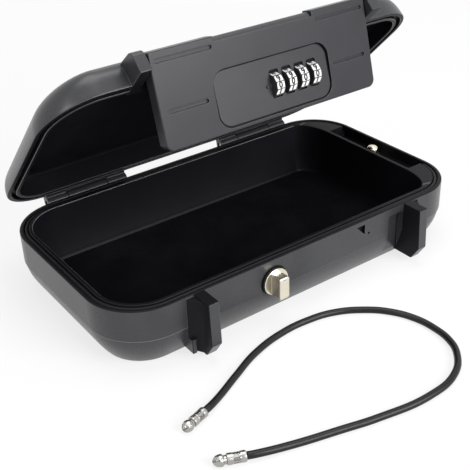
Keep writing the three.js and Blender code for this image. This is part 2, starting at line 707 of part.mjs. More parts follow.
function cheek(side) {
  const root = FRONT_Y + FRONT_SHOULDER;
  const profile = [
    [root, LID_RIM],
    [CHEEK_FRONT, LID_RIM],
    [CHEEK_FRONT, CHEEK_TOP - CHEEK_NOSE],
    [CHEEK_FRONT + CHEEK_BROW.setback, CHEEK_TOP - CHEEK_BROW.drop],
    [CHEEK_FRONT + CHEEK_CROWN.setback, CHEEK_TOP - CHEEK_CROWN.drop],
    [FRONT_Y, CHEEK_TOP],
    [root, CHEEK_TOP],
  ];
  return side < 0
    ? prismX(profile, -CHEEK_OUTER, -CHEEK_INNER)
    : prismX(profile, CHEEK_INNER, CHEEK_OUTER);
}

// Bracket in the middle of the lid's front, with its barrel on the flap's pin
function middleBracket() {
  const arm = prismX([
    [FLAP_AXIS_Y, FLAP_AXIS_Z - BRACKET_BELOW],
    [FRONT_Y + BRACKET_ROOT, FLAP_AXIS_Z - BRACKET_BELOW],
    [FRONT_Y + BRACKET_ROOT, FLAP_AXIS_Z + BRACKET_ABOVE],
    [FLAP_AXIS_Y, FLAP_AXIS_Z + BRACKET_ABOVE],
  ], -BRACKET_HALF, BRACKET_HALF);
  const barrel = rodX(BRACKET_RADIUS, -BRACKET_HALF, BRACKET_HALF, FLAP_AXIS_Y, FLAP_AXIS_Z);
  return arm.add(barrel);
}

function lidShell() {
  let shell = lidOutside();
  shell = shell.subtract(lidRoom());
  const grooveRoof = LID_RIM + LID_GROOVE_DEPTH;
  shell = shell.subtract(trayRing(RIM_WALL, GROOVE_INNER, LID_RIM - CUT_MARGIN, grooveRoof));
  shell = shell.add(slopedWeb());
  shell = shell.subtract(swingCut());
  const arms = [
    ...bothSides(ARM_INNER, ARM_OUTER),
    ...bothSides(OUTER_ARM_INNER, HINGE_OUTER),
  ];
  const knuckles = arms.map(([x0, x1]) => lidKnuckle(x0, x1));
  shell = joined([shell, cheek(-1), cheek(1), middleBracket(), ...knuckles]);
  shell = hingeBores().reduce((rest, bore) => rest.subtract(bore), shell);
  const pinReach = CHEEK_OUTER - CHEEK_SKIN;
  return shell.subtract(
    rodX(FLAP_PIN_RADIUS + FIT_GAP, -pinReach, pinReach, FLAP_AXIS_Y, FLAP_AXIS_Z, 12),
  );
}

function lidLiner() {
  const roof = LID_TOP - LID_SKIN;
  const insets = [END_SHOULDER, FRONT_SHOULDER].map((radius) => lidRoomInset(roof, radius) + FIT_GAP);
  const top = roof - FIT_GAP;
  return tray([[top - LINER_THICKNESS, ...insets], [top, ...insets]]);
}

function flapHingePin() {
  const reach = CHEEK_OUTER - CHEEK_SKIN - FIT_GAP;
  return rodX(FLAP_PIN_RADIUS, -reach, reach, FLAP_AXIS_Y, FLAP_AXIS_Z, 12);
}

// A straight groove with round ends on the flap's face
function faceGroove(x0, x1, s) {
  const r = GROOVE_HALF_WIDTH;
  const outline = roundedRectangle(x0, x1, atS(s + r), atS(s - r), r * 0.98);
  return plateY(outline, FACE_Y - CUT_MARGIN, atDepth(FACE_GROOVE_DEPTH), 3);
}

// The raised panel round the wheels lies in a recess that is deeper at its top
function panelRecess() {
  const outline = roundedRectangle(
    PANEL_X - PANEL_HALF, PANEL_X + PANEL_HALF,
    atS(PANEL_BOTTOM_S), atS(PANEL_TOP_S), PANEL_CORNER,
  );
  const column = plateY(outline, FACE_Y - CUT_MARGIN, atDepth(PANEL_TOP_DEPTH));
  const wedge = prismX([
    [FACE_Y - CUT_MARGIN, atS(PANEL_TOP_S)],
    [FACE_Y - CUT_MARGIN, atS(PANEL_BOTTOM_S)],
    [atDepth(PANEL_BOTTOM_DEPTH), atS(PANEL_BOTTOM_S)],
    [atDepth(PANEL_TOP_DEPTH), atS(PANEL_TOP_S)],
  ], -FLAP_HALF, FLAP_HALF);
  return column.intersect(wedge);
}

function dialX(index) {
  return FIRST_DIAL_X + index * DIAL_PITCH;
}

// The window of one wheel, cut round the wheel's own sweep
function dialWindow(index) {
  const x = dialX(index);
  const half = WINDOW_WIDTH / 2;
  const radius = DIAL_RADIUS + RUN_GAP;
  return rodX(radius, x - half, x + half, atDepth(DIAL_AXIS_DEPTH), atS(DIAL_S), 24);
}

function housingBody() {
  const outline = roundedRectangle(
    -FLAP_HALF, FLAP_HALF, atS(FLAP_BELOW_AXIS), atS(-FLAP_ABOVE_AXIS),
    FLAP_CORNER, FLAP_TOP_CORNER,
  );
  const body = plateY(outline, FACE_Y, atDepth(FLAP_DEPTH));
  const room = box(
    -FLAP_HALF + FLAP_WALL, FLAP_HALF - FLAP_WALL, atDepth(FLAP_WALL),
    atDepth(FLAP_DEPTH) + CUT_MARGIN, atS(FLAP_BELOW_AXIS - FLAP_WALL), atS(FLAP_BAR),
  );
  return body.subtract(room);
}

// Room for the lid's bracket in the middle of the flap's top bar
function bracketNotch() {
  const half = BRACKET_HALF + RUN_GAP;
  const barrel = rodX(BRACKET_RADIUS + FIT_GAP, -half, half, FLAP_AXIS_Y, FLAP_AXIS_Z);
  const back = atDepth(FLAP_DEPTH) + CUT_MARGIN;
  const top = atS(-FLAP_ABOVE_AXIS) + CUT_MARGIN;
  const above = box(-half, half, FACE_Y - CUT_MARGIN, back, FLAP_AXIS_Z + BRACKET_SIDE_RISE, top);
  const behind = box(-half, half, FLAP_AXIS_Y, back, atS(FLAP_BAR + BRACKET_NOTCH_BELOW), top);
  return joined([barrel, above, behind]);
}

function screwPlaces() {
  const places = [];
  for (const s of [SCREW_UPPER_S, SCREW_LOWER_S]) {
    places.push({ x: -SCREW_X, s });
    places.push({ x: SCREW_X, s });
  }
  return places;
}

// Bosses, ribs and lugs inside the flap, which carry the lock's pieces
function housingRibs() {
  const wallBack = atDepth(FLAP_WALL) - ROOT;
  const ribBack = atDepth(FLAP_DEPTH);
  const bosses = screwPlaces().map(
    ({ x, s }) => rodY(SCREW_BOSS_RADIUS, wallBack, ribBack, x, atS(s), 16),
  );
  const lugX = [
    FIRST_DIAL_X - DIAL_WIDTH / 2 - LUG_GAP - LUG_THICKNESS,
    LAST_DIAL_X + DIAL_WIDTH / 2 + LUG_GAP,
  ];
  const lugs = lugX.map((x) => box(
    x, x + LUG_THICKNESS, wallBack, ribBack,
    atS(DIAL_S + LUG_HALF_HEIGHT), atS(DIAL_S - LUG_HALF_HEIGHT),
  ));
  const guideTop = atS(BOLT_BOTTOM_S + FIT_GAP);
  const guide = box(
    GUIDE_LEFT, GUIDE_RIGHT, wallBack, ribBack, guideTop - RIB_THICKNESS, guideTop,
  );
  const springEnd = boltEnd() + SPRING_LENGTH - SPRING_ENTRY + FIT_GAP;
  const stopTop = atS(BOLT_TOP_S - BOLT_BLOCK_MARGIN);
  const stopLow = atS(BOLT_BOTTOM_S + BOLT_BLOCK_MARGIN);
  const stop = box(springEnd, springEnd + RIB_THICKNESS, wallBack, ribBack, stopLow, stopTop);
  const shelfTop = atS(DETENT_BOTTOM_S + FIT_GAP);
  const middle = (FIRST_DIAL_X + LAST_DIAL_X) / 2;
  const shelf = box(
    middle - DETENT_LENGTH / 2, middle + DETENT_LENGTH / 2, wallBack, ribBack,
    shelfTop - RIB_THICKNESS, shelfTop,
  );
  return joined([...bosses, ...lugs, guide, stop, shelf]);
}

function flapHousing() {
  let housing = housingBody().add(housingRibs());
  housing = housing.subtract(bracketNotch());
  const pinBore = FLAP_PIN_RADIUS + FIT_GAP;
  housing = housing.subtract(
    rodX(pinBore, -FLAP_HALF - CUT_MARGIN, FLAP_HALF + CUT_MARGIN, FLAP_AXIS_Y, FLAP_AXIS_Z, 12),
  );
  for (const [x0, x1] of bothSides(UPPER_GROOVE_INNER, FACE_GROOVE_OUTER)) {
    housing = housing.subtract(faceGroove(x0, x1, UPPER_GROOVE_S));
  }
  for (const [x0, x1] of bothSides(LOWER_GROOVE_INNER, FACE_GROOVE_OUTER)) {
    housing = housing.subtract(faceGroove(x0, x1, LOWER_GROOVE_S));
  }
  housing = housing.subtract(panelRecess());
  for (let i = 0; i < DIAL_COUNT; i += 1) {
    housing = housing.subtract(dialWindow(i));
  }
  housing = housing.subtract(dialShaftBore());
  housing = housing.subtract(postSlots());
  const screwBore = SCREW_SHANK_RADIUS + FIT_GAP;
  const back = atDepth(FLAP_DEPTH) + CUT_MARGIN;
  return screwPlaces().reduce(
    (rest, { x, s }) => rest.subtract(rodY(screwBore, atDepth(FLAP_WALL), back, x, atS(s), 10)),
    housing,
  );
}

// Slots that let the flap go down over the post: wide for the disc, narrow for the blade
function postSlots() {
  const back = atDepth(COVER_BACK) + CUT_MARGIN;
  const top = POST_Z + POST_SLOT_HALF;
  const low = atS(FLAP_BELOW_AXIS) - CUT_MARGIN;
  const wide = box(
    POST_X - POST_SLOT_HALF, POST_X + POST_SLOT_HALF, atDepth(POST_SLOT_DEPTH), back, low, top,
  );
  const narrow = box(
    POST_X - BLADE_SLOT_HALF, POST_X + BLADE_SLOT_HALF, atDepth(FLAP_WALL), back, low, top,
  );
  return wide.add(narrow);
}

function shaftSpan() {
  const reach = DIAL_WIDTH / 2 + SHAFT_OVERHANG;
  return [FIRST_DIAL_X - reach + FIT_GAP, LAST_DIAL_X + reach - FIT_GAP];
}

function dialShaftBore() {
  const [x0, x1] = shaftSpan();
  return rodX(
    SHAFT_RADIUS + FIT_GAP, x0 - FIT_GAP, x1 + FIT_GAP, atDepth(DIAL_AXIS_DEPTH), atS(DIAL_S), 12,
  );
}

function dialShaft() {
  const [x0, x1] = shaftSpan();
  return rodX(SHAFT_RADIUS, x0, x1, atDepth(DIAL_AXIS_DEPTH), atS(DIAL_S), 12);
}

// The wheel has ten flats, one of them square to the face
function dial(index) {
  const x = dialX(index);
  const half = DIAL_WIDTH / 2;
  const geometry = new THREE.CylinderGeometry(DIAL_RADIUS, DIAL_RADIUS, DIAL_WIDTH, DIAL_FACES);
  geometry.rotateZ(Math.PI / 2);
  geometry.translate(x, atDepth(DIAL_AXIS_DEPTH), atS(DIAL_S));
  const reach = half + CUT_MARGIN;
  const bore = rodX(DIAL_BORE, x - reach, x + reach, atDepth(DIAL_AXIS_DEPTH), atS(DIAL_S), 16);
  return solid(geometry).subtract(bore);
}

function dialHub(index) {
  const x = dialX(index);
  const half = DIAL_WIDTH / 2;
  const reach = half + CUT_MARGIN;
  const y = atDepth(DIAL_AXIS_DEPTH);
  const z = atS(DIAL_S);
  const outer = DIAL_BORE - FIT_GAP;
  const ring = rodX(outer, x - half, x + half, y, z, 16)
    .subtract(rodX(SHAFT_RADIUS + FIT_GAP, x - reach, x + reach, y, z, 12));
  const gate = box(
    x - reach, x + reach, y - GATE_WIDTH / 2, y + GATE_WIDTH / 2,
    z + outer - GATE_DEPTH, z + outer + CUT_MARGIN,
  );
  return ring.subtract(gate);
}

// Spring plate with one tongue under each wheel
function detentPlate() {
  const middle = (FIRST_DIAL_X + LAST_DIAL_X) / 2;
  const y0 = atDepth(DETENT_DEPTH);
  const y1 = y0 + DETENT_THICKNESS;
  const low = atS(DETENT_BOTTOM_S);
  const half = DETENT_LENGTH / 2;
  const strip = box(middle - half, middle + half, y0, y1, low, low + DETENT_STRIP_HEIGHT);
  const tongues = [];
  const tip = atS(DIAL_S + DIAL_RADIUS + FIT_GAP);
  for (let i = 0; i < DIAL_COUNT; i += 1) {
    const x = dialX(i);
    tongues.push(box(x - TONGUE_WIDTH / 2, x + TONGUE_WIDTH / 2, y0, y1, low, tip));
  }
  return joined([strip, ...tongues]);
}

function boltEnd() {
  return BOLT_BODY_RIGHT + BOLT_BLOCK_LENGTH;
}

// Bar that enters the post's notch, with short fence fingers between the wheels
function latchBolt() {
  const y0 = atDepth(BOLT_DEPTH);
  const y1 = y0 + BOLT_THICKNESS;
  const barEnd = BOLT_BODY_RIGHT + ROOT;
  const bar = box(BOLT_TIP, barEnd, y0, y1, atS(BOLT_BOTTOM_S), atS(BOLT_TOP_S));
  const block = box(
    BOLT_BODY_RIGHT, boltEnd(), y0 - BOLT_BLOCK_MARGIN / 2, y1 + BOLT_BLOCK_MARGIN,
    atS(BOLT_BOTTOM_S + BOLT_BLOCK_MARGIN), atS(BOLT_TOP_S - BOLT_BLOCK_MARGIN),
  );
  const fingers = [];
  const low = atS(BOLT_BOTTOM_S + FENCE_LENGTH);
  for (let i = 0; i < DIAL_COUNT; i += 1) {
    const x = dialX(i) + DIAL_PITCH / 2;
    fingers.push(
      box(x - FENCE_WIDTH / 2, x + FENCE_WIDTH / 2, y0, y1, low, atS(BOLT_BOTTOM_S - ROOT)),
    );
  }
  const pocketStart = boltEnd() - SPRING_ENTRY - BOLT_TRAVEL - FIT_GAP;
  const pocket = rodX(
    SPRING_RADIUS + SPRING_WIRE + FIT_GAP, pocketStart, boltEnd() + CUT_MARGIN,
    springY(), springZ(), 12,
  );
  return joined([bar, block, ...fingers]).subtract(pocket);
}

function springY() {
  return atDepth(BOLT_DEPTH + BOLT_THICKNESS / 2 + BOLT_BLOCK_MARGIN / 4);
}

function springZ() {
  return (atS(BOLT_TOP_S) + atS(BOLT_BOTTOM_S)) / 2;
}

// A solid swept along a curve with a round section
function sweep(curve, radius, sides, steps) {
  const section = new THREE.Shape();
  for (let i = 0; i < sides; i += 1) {
    const angle = (i / sides) * 2 * Math.PI;
    const x = radius * Math.cos(angle);
    const y = radius * Math.sin(angle);
    if (i === 0) {
      section.moveTo(x, y);
    } else {
      section.lineTo(x, y);
    }
  }
  return new THREE.ExtrudeGeometry(section, { steps, bevelEnabled: false, extrudePath: curve });
}

class Helix extends THREE.Curve {
  constructor(x0, length, turns, radius) {
    super();
    Object.assign(this, { x0, length, turns, radius });
  }

  getPoint(t, target = new THREE.Vector3()) {
    const angle = 2 * Math.PI * this.turns * t;
    const y = this.radius * Math.cos(angle);
    const z = this.radius * Math.sin(angle);
    return target.set(this.x0 + this.length * t, y, z);
  }
}

// The coil ends on the housing's stop, and has the length left to it by the bolt drawn fully back
function boltSpring() {
  const start = boltEnd() - SPRING_ENTRY + SPRING_WIRE;
  const coil = new Helix(start, SPRING_LENGTH - 2 * SPRING_WIRE, SPRING_TURNS, SPRING_RADIUS);
  const geometry = sweep(coil, SPRING_WIRE, 5, SPRING_TURNS * 8);
  geometry.translate(0, springY(), springZ());
  return solid(geometry);
}

function flapBackCover() {
  const inner = FLAP_DEPTH + FIT_GAP;
  const profile = [
    [atDepth(inner), atS(COVER_TOP_S)],
    [atDepth(COVER_BACK), atS(COVER_TOP_S)],
    [atDepth(COVER_BACK), atS(COVER_KNEE_S)],
    [atDepth(COVER_EDGE_BACK), atS(COVER_BOTTOM_S)],
    [atDepth(inner), atS(COVER_BOTTOM_S)],
  ];
  let cover = prismX(profile, -COVER_HALF, COVER_HALF);
  const half = WINDOW_WIDTH / 2;
  const wheels = rodX(
    DIAL_RADIUS + FIT_GAP, FIRST_DIAL_X - half, LAST_DIAL_X + half,
    atDepth(DIAL_AXIS_DEPTH), atS(DIAL_S), 24,
  );
  cover = cover.subtract(wheels).subtract(postSlots());
  const back = atDepth(COVER_BACK) + CUT_MARGIN;
  for (const { x, s } of screwPlaces()) {
    cover = cover.subtract(
      rodY(SCREW_HEAD_RADIUS + FIT_GAP, atDepth(inner) - CUT_MARGIN, back, x, atS(s), 12),
    );
  }
  return cover;
}

function coverScrew({ x, s }) {
  const seat = FLAP_DEPTH + FIT_GAP;
  const z = atS(s);
  const head = rodY(
    SCREW_HEAD_RADIUS, atDepth(seat), atDepth(seat + SCREW_HEAD_THICKNESS), x, z, 12,
  );
  const shankStart = atDepth(seat - SCREW_SHANK_LENGTH);
  return head.add(rodY(SCREW_SHANK_RADIUS, shankStart, atDepth(seat + ROOT), x, z, 10));
}

function cableEndPoint(end, along) {
  return new THREE.Vector3(
    end.x + end.toward.x * along, end.y + end.toward.y * along, FITTING_Z,
  );
}

function cableSheath() {
  const points = [
    cableEndPoint(CABLE_END_A, -FIT_GAP),
    cableEndPoint(CABLE_END_A, -CABLE_LEAD),
    ...CABLE_ROUTE.map(([x, y]) => new THREE.Vector3(x, y, CABLE_RADIUS)),
    cableEndPoint(CABLE_END_B, -CABLE_LEAD),
    cableEndPoint(CABLE_END_B, -FIT_GAP),
  ];
  const curve = new THREE.CatmullRomCurve3(points, false, 'centripetal');
  return solid(sweep(curve, CABLE_RADIUS, CABLE_SIDES, CABLE_STEPS));
}

// A turned fitting on the cable's end, from a profile of [along, radius] points
function cableFitting(end, profile) {
  const points = profile.map(([along, radius]) => new THREE.Vector2(radius, along));
  const geometry = new THREE.LatheGeometry(points, 16);
  const turn = new THREE.Quaternion().setFromUnitVectors(new THREE.Vector3(0, 1, 0), end.toward);
  geometry.applyQuaternion(turn);
  geometry.translate(end.x, end.y, FITTING_Z);
  return solid(geometry);
}

function cableSleeve(end) {
  const r = SLEEVE_RADIUS;
  const { along, drop } = FITTING_CHAMFER;
  return cableFitting(end, [
    [0, 0], [0, r - drop], [along, r], [SLEEVE_LENGTH - along, r],
    [SLEEVE_LENGTH, r - drop], [SLEEVE_LENGTH, 0],
  ]);
}

function cableHead(end) {
  const start = SLEEVE_LENGTH + FIT_GAP;
  const r = HEAD_RADIUS;
  return cableFitting(end, [
    [start, 0], [start, r * 0.7], [start + HEAD_SHOULDER, r], [start + HEAD_LENGTH * 0.6, r],
    [start + HEAD_LENGTH * 0.88, r * 0.66], [start + HEAD_LENGTH, 0],
  ]);
}

// Put a solid into a group as a named mesh, measured from the group's own pivot
function addPiece(group, pivot, name, shape, finish) {
  const geometry = geometryOf(shape);
  geometry.translate(-pivot.x, -pivot.y, -pivot.z);
  const mesh = new THREE.Mesh(geometry, new THREE.MeshStandardMaterial(finish));
  mesh.name = name;
  group.add(mesh);
}

const floorPivot = new THREE.Vector3(0, 0, 0);
const hingePivot = new THREE.Vector3(0, HINGE_Y, HINGE_Z);
const flapPivot = new THREE.Vector3(0, FLAP_AXIS_Y, FLAP_AXIS_Z);

function baseGroup() {
  const group = new THREE.Group();
  const add = (...piece) => addPiece(group, floorPivot, ...piece);
  add('base_shell', baseShell(), BLACK_METAL);
  add('rim_gasket', rimGasket(), RUBBER);
  add('base_liner', baseLiner(), FOAM);
  add('lock_post', lockPost(), NICKEL);
  add('post_washer', postWasher(), RUBBER);
  add('post_nut', postNut(), STEEL);
  add('cable_stud', cableStud(), NICKEL);
  add('hinge_pin_left', hingePin(-1), STEEL);
  add('hinge_pin_right', hingePin(1), STEEL);
  add('cable_sheath', cableSheath(), RUBBER);
  for (const [letter, end] of [['a', CABLE_END_A], ['b', CABLE_END_B]]) {
    add(`cable_sleeve_${letter}`, cableSleeve(end), STEEL);
    add(`cable_head_${letter}`, cableHead(end), STEEL);
  }
  return group;
}

function lidGroup() {
  const group = new THREE.Group();
  group.position.copy(hingePivot);
  group.rotation.x = -THREE.MathUtils.degToRad(LID_OPEN);
  addPiece(group, hingePivot, 'lid_shell', lidShell(), BLACK_METAL);
  addPiece(group, hingePivot, 'lid_liner', lidLiner(), FOAM);
  group.add(flapGroup());
  return group;
}

function flapGroup() {
  const group = new THREE.Group();
  group.position.subVectors(flapPivot, hingePivot);
  group.rotation.x = THREE.MathUtils.degToRad(FLAP_SWING);
  const add = (...piece) => addPiece(group, flapPivot, ...piece);
  add('flap_hinge_pin', flapHingePin(), STEEL);
  add('flap_housing', flapHousing(), FLAP_METAL);
  add('flap_back_cover', flapBackCover(), BLACK_METAL);
  add('dial_shaft', dialShaft(), STEEL);
  add('detent_plate', detentPlate(), STEEL);
  add('latch_bolt', latchBolt(), BRASS);
  add('bolt_spring', boltSpring(), STEEL);
  screwPlaces().forEach((place, i) => add(`cover_screw_${i + 1}`, coverScrew(place), STEEL));
  for (let i = 0; i < DIAL_COUNT; i += 1) {
    add(`dial_${i + 1}`, dial(i), WHEEL_WHITE);
    add(`dial_hub_${i + 1}`, dialHub(i), BRASS);
  }
  return group;
}

const safe = new THREE.Group();
safe.name = 'portable_car_safe';
safe.add(baseGroup(), lidGroup());

export default safe;
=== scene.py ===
"""The looks of a portable car safe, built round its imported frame, in metres."""

import json
import logging
import math
from collections.abc import Callable, Iterable, Sequence
from dataclasses import dataclass, field
from enum import Enum

import bmesh
import bpy
from mathutils import Matrix, Vector

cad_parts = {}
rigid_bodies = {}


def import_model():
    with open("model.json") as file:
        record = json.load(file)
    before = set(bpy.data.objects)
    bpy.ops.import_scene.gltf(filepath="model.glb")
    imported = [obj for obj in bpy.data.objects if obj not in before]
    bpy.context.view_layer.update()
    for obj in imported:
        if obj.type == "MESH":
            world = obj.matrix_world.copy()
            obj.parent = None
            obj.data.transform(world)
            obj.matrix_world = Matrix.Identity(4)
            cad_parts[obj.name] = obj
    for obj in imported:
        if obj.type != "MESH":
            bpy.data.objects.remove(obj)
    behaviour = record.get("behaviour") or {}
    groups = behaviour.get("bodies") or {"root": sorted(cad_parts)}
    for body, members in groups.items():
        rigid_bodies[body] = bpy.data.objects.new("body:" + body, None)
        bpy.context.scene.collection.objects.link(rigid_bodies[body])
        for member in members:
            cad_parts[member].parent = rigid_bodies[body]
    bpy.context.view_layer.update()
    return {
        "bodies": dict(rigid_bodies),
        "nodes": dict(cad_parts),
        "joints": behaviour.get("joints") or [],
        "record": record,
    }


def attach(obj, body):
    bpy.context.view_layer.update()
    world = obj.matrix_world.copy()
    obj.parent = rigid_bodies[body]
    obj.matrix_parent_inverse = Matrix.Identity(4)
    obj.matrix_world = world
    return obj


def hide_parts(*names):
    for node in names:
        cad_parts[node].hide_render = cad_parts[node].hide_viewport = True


log = logging.getLogger("car_safe")
MM = 0.001
FIRST, SECOND, THIRD = range(3)
COLOUR_A, COLOUR_B, MIXED = 6, 7, 2


class Slot(Enum):
    """The record's material slots."""

    BLACK = "black_coat"
    FLAP = "flap_coat"
    NICKEL = "nickel"
    STEEL = "steel"
    BRASS = "brass"
    SEAL = "seal_rubber"
    FOAM = "foam"
    CABLE = "cable_jacket"
    WHEEL = "wheel_plastic"


class Cut(Enum):
    """How a second solid changes a first."""

    TAKE_AWAY = "DIFFERENCE"
    JOIN = "UNION"


def arc(degrees: float, steps: int, start: float = 0) -> list[tuple[float, float]]:
    """List the cosine and sine of even turns.

    Args:
        degrees: From the first turn to the last.
        steps: Gaps between the turns.
        start: The first turn in degrees.

    Returns:
        One pair more than there are steps.
    """
    turns = [math.radians(start + degrees * step / steps) for step in range(steps + 1)]
    return [(math.cos(turn), math.sin(turn)) for turn in turns]


@dataclass(frozen=True)
class Plan:
    """The rounded rectangle that the base and the lid share.

    Args:
        length: Size along X.
        depth: Size along Y.
        radius: Corner radius of the outside.
        steps: Faces in each quarter corner.
    """

    length: float = 240 * MM
    depth: float = 132.2 * MM
    radius: float = 30.5 * MM
    steps: int = 16

    def ring(self, z: float, inset: float, right: float | None = None,
             across: float | None = None) -> list[Vector]:
        """Place one outline of the plan, drawn in from it.

        Args:
            z: Height of the outline.
            inset: How far its left end is in, and its right end and sides too unless given.
            right: How far the right end is in.
            across: How far the front and the back are in.

        Returns:
            Points in order, seen from above anticlockwise.
        """
        right = inset if right is None else right
        across = inset if across is None else across
        points = []
        for side_x, side_y, start in ((1, -1, -90), (1, 1, 0), (-1, 1, 90), (-1, -1, 180)):
            radius_x = self.radius - (right if side_x > 0 else inset)
            radius_y = self.radius - across
            centre_x = side_x * (self.length / 2 - self.radius)
            centre_y = side_y * (self.depth / 2 - self.radius)
            for cos, sin in arc(90, self.steps, start):
                points.append(Vector((centre_x + radius_x * cos, centre_y + radius_y * sin, z)))
        return points

    def inset_at(self, point: Vector) -> float:
        """How far a point lies in from the plan.

        Args:
            point: Any point; its height doesn't count.

        Returns:
            The distance, at most the corner radius and less than 0 outside.
        """
        dx = max(abs(point.x) - self.length / 2 + self.radius, 0)
        dy = max(abs(point.y) - self.depth / 2 + self.radius, 0)
        return self.radius - math.hypot(dx, dy)


@dataclass(frozen=True)
class Safe:
    """Sizes that more than one piece reads, drawn with the lid shut.

    Args:
        plan: Outline of base and lid.
        rim_wall: Wall outside the seal's groove.
        groove: Width of the seal's groove.
        lip_wall: Wall inside the groove.
        base_height: Height of the base's rim.
        lid_gap: Gap between the two rims.
        lid_top: Height of the shut lid.
        rim_edge: Chamfer of the rims' edges.
        hinge_y: Y of the rear hinge.
        hinge_z: Height of the rear hinge.
        knuckle: Radius of the rear hinge's barrels.
        pin_bore: Radius of the rear hinge's bores.
        bore_half: How far these bores reach from the middle.
        lid_open: How far the lid stands open at rest.
        face_y: Y of the shut flap's face.
        flap_axis_z: Height of the shut flap's pin.
        flap_axis_depth: How far that pin lies behind the face.
        flap_bore: Radius of that pin's bores.
        flap_swing: How far the flap turns back against the open lid.
        cheek_inner: Inner face of the lid's cheeks.
        post_x: X of the lock post.
        fit: Play between neighbouring pieces.
    """

    plan: Plan = field(default_factory=Plan)
    rim_wall: float = 2.4 * MM
    groove: float = 2.8 * MM
    lip_wall: float = 2.2 * MM
    base_height: float = 37.3 * MM
    lid_gap: float = 0.6 * MM
    lid_top: float = 54.5 * MM
    rim_edge: float = 0.35 * MM
    hinge_y: float = 70.14 * MM
    hinge_z: float = 34.97 * MM
    knuckle: float = 3.6 * MM
    pin_bore: float = 1.8 * MM
    bore_half: float = 91 * MM
    lid_open: float = math.radians(45.06)
    face_y: float = -77.5 * MM
    flap_axis_z: float = 45.5 * MM
    flap_axis_depth: float = 3.8 * MM
    flap_bore: float = 1.7 * MM
    flap_swing: float = math.radians(30.06)
    cheek_inner: float = 69.9 * MM
    post_x: float = -25.6 * MM
    fit: float = 0.3 * MM

    @property
    def front(self) -> float:
        """Y of the base's front wall."""
        return -self.plan.depth / 2

    @property
    def back(self) -> float:
        """Y of the base's back wall."""
        return self.plan.depth / 2

    @property
    def lip_inner(self) -> float:
        """How far the compartment's upper edge is in from the plan."""
        return self.rim_wall + self.groove + self.lip_wall

    @property
    def lid_rim(self) -> float:
        """Height of the shut lid's rim."""
        return self.base_height + self.lid_gap

    @property
    def flap_axis_y(self) -> float:
        """Y of the shut flap's pin."""
        return self.face_y + self.flap_axis_depth

    def hinge_bore(self) -> bmesh.types.BMesh:
        """Make the cutter of the rear hinge's bores."""
        half = self.bore_half
        return rod_x(self.pin_bore, -half, half, self.hinge_y, self.hinge_z, 24, 0)

    def lid_rest(self) -> Matrix:
        """Turn that opens the shut lid to its rest."""
        return turn_about_x(-self.lid_open, self.hinge_y, self.hinge_z)

    def flap_rest(self) -> Matrix:
        """Turn that brings the shut flap to its rest on the open lid."""
        swing = turn_about_x(self.flap_swing, self.flap_axis_y, self.flap_axis_z)
        return self.lid_rest() @ swing


def turn_about_x(angle: float, y: float, z: float) -> Matrix:
    """Make a turn about an axis along X.

    Args:
        angle: Radians, right-handed about +X.
        y: The axis's place along Y.
        z: The axis's height.

    Returns:
        The turn as a matrix.
    """
    pivot = Vector((0, y, z))
    return Matrix.Translation(pivot) @ Matrix.Rotation(angle, 4, "X") @ Matrix.Translation(-pivot)


def loft(rings: Sequence[Sequence[Vector]], ring_shaped: bool = False) -> bmesh.types.BMesh:
    """Extrude one outline through the next ones.

    Args:
        rings: Outlines with as many points each, in the same order.
        ring_shaped: True where the last outline meets the first again.

    Returns:
        A closed mesh with its faces outward.
    """
    mesh = bmesh.new()
    verts = [mesh.verts.new(point) for point in rings[0]]
    count = len(verts)
    edges = [mesh.edges.new((verts[i], verts[(i + 1) % count])) for i in range(count)]
    first = list(edges)
    for ring in rings[1:]:
        grown = bmesh.ops.extrude_edge_only(mesh, edges=edges)["geom"]
        new_verts = {item for item in grown if isinstance(item, bmesh.types.BMVert)}
        edges = [
            item for item in grown
            if isinstance(item, bmesh.types.BMEdge) and set(item.verts) <= new_verts
        ]
        moved = []
        for vert, point in zip(verts, ring, strict=True):
            partner = next(e.other_vert(vert) for e in vert.link_edges
                           if e.other_vert(vert) in new_verts)
            partner.co = point
            moved.append(partner)
        verts = moved
    if ring_shaped:
        bmesh.ops.bridge_loops(mesh, edges=first + edges)
    else:
        bmesh.ops.contextual_create(mesh, geom=first)
        bmesh.ops.contextual_create(mesh, geom=edges)
    bmesh.ops.recalc_face_normals(mesh, faces=mesh.faces)
    return mesh


def rounded(mesh: bmesh.types.BMesh, radius: float, steps: int = 3, sharper: float = 30) -> None:
    """Round the sharp edges of a mesh.

    Args:
        mesh: The mesh, changed in place.
        radius: Size of the rounding.
        steps: Faces across it.
        sharper: Only edges that turn by more than this many degrees are rounded.
    """
    limit = math.radians(sharper)
    edges = [e for e in mesh.edges if len(e.link_faces) == 2 and e.calc_face_angle(0) > limit]
    if radius > 0 and edges:
        bmesh.ops.bevel(mesh, geom=edges, offset=radius, offset_type="OFFSET", affect="EDGES",
                        segments=steps, profile=0.5, material=-1, clamp_overlap=True)


def block(x: Sequence[float], y: Sequence[float], z: Sequence[float],
          radius: float = 0.4 * MM, steps: int = 3) -> bmesh.types.BMesh:
    """Make a box with rounded edges.

    Args:
        x: Lowest and highest X.
        y: Lowest and highest Y.
        z: Lowest and highest Z.
        radius: Rounding of its edges.
        steps: Faces across a rounding.

    Returns:
        The box.
    """
    mesh = bmesh.new()
    bmesh.ops.create_cube(mesh, size=1)
    bmesh.ops.scale(mesh, vec=(x[1] - x[0], y[1] - y[0], z[1] - z[0]), verts=mesh.verts)
    middle = ((x[0] + x[1]) / 2, (y[0] + y[1]) / 2, (z[0] + z[1]) / 2)
    bmesh.ops.translate(mesh, vec=middle, verts=mesh.verts)
    rounded(mesh, radius, steps)
    return mesh


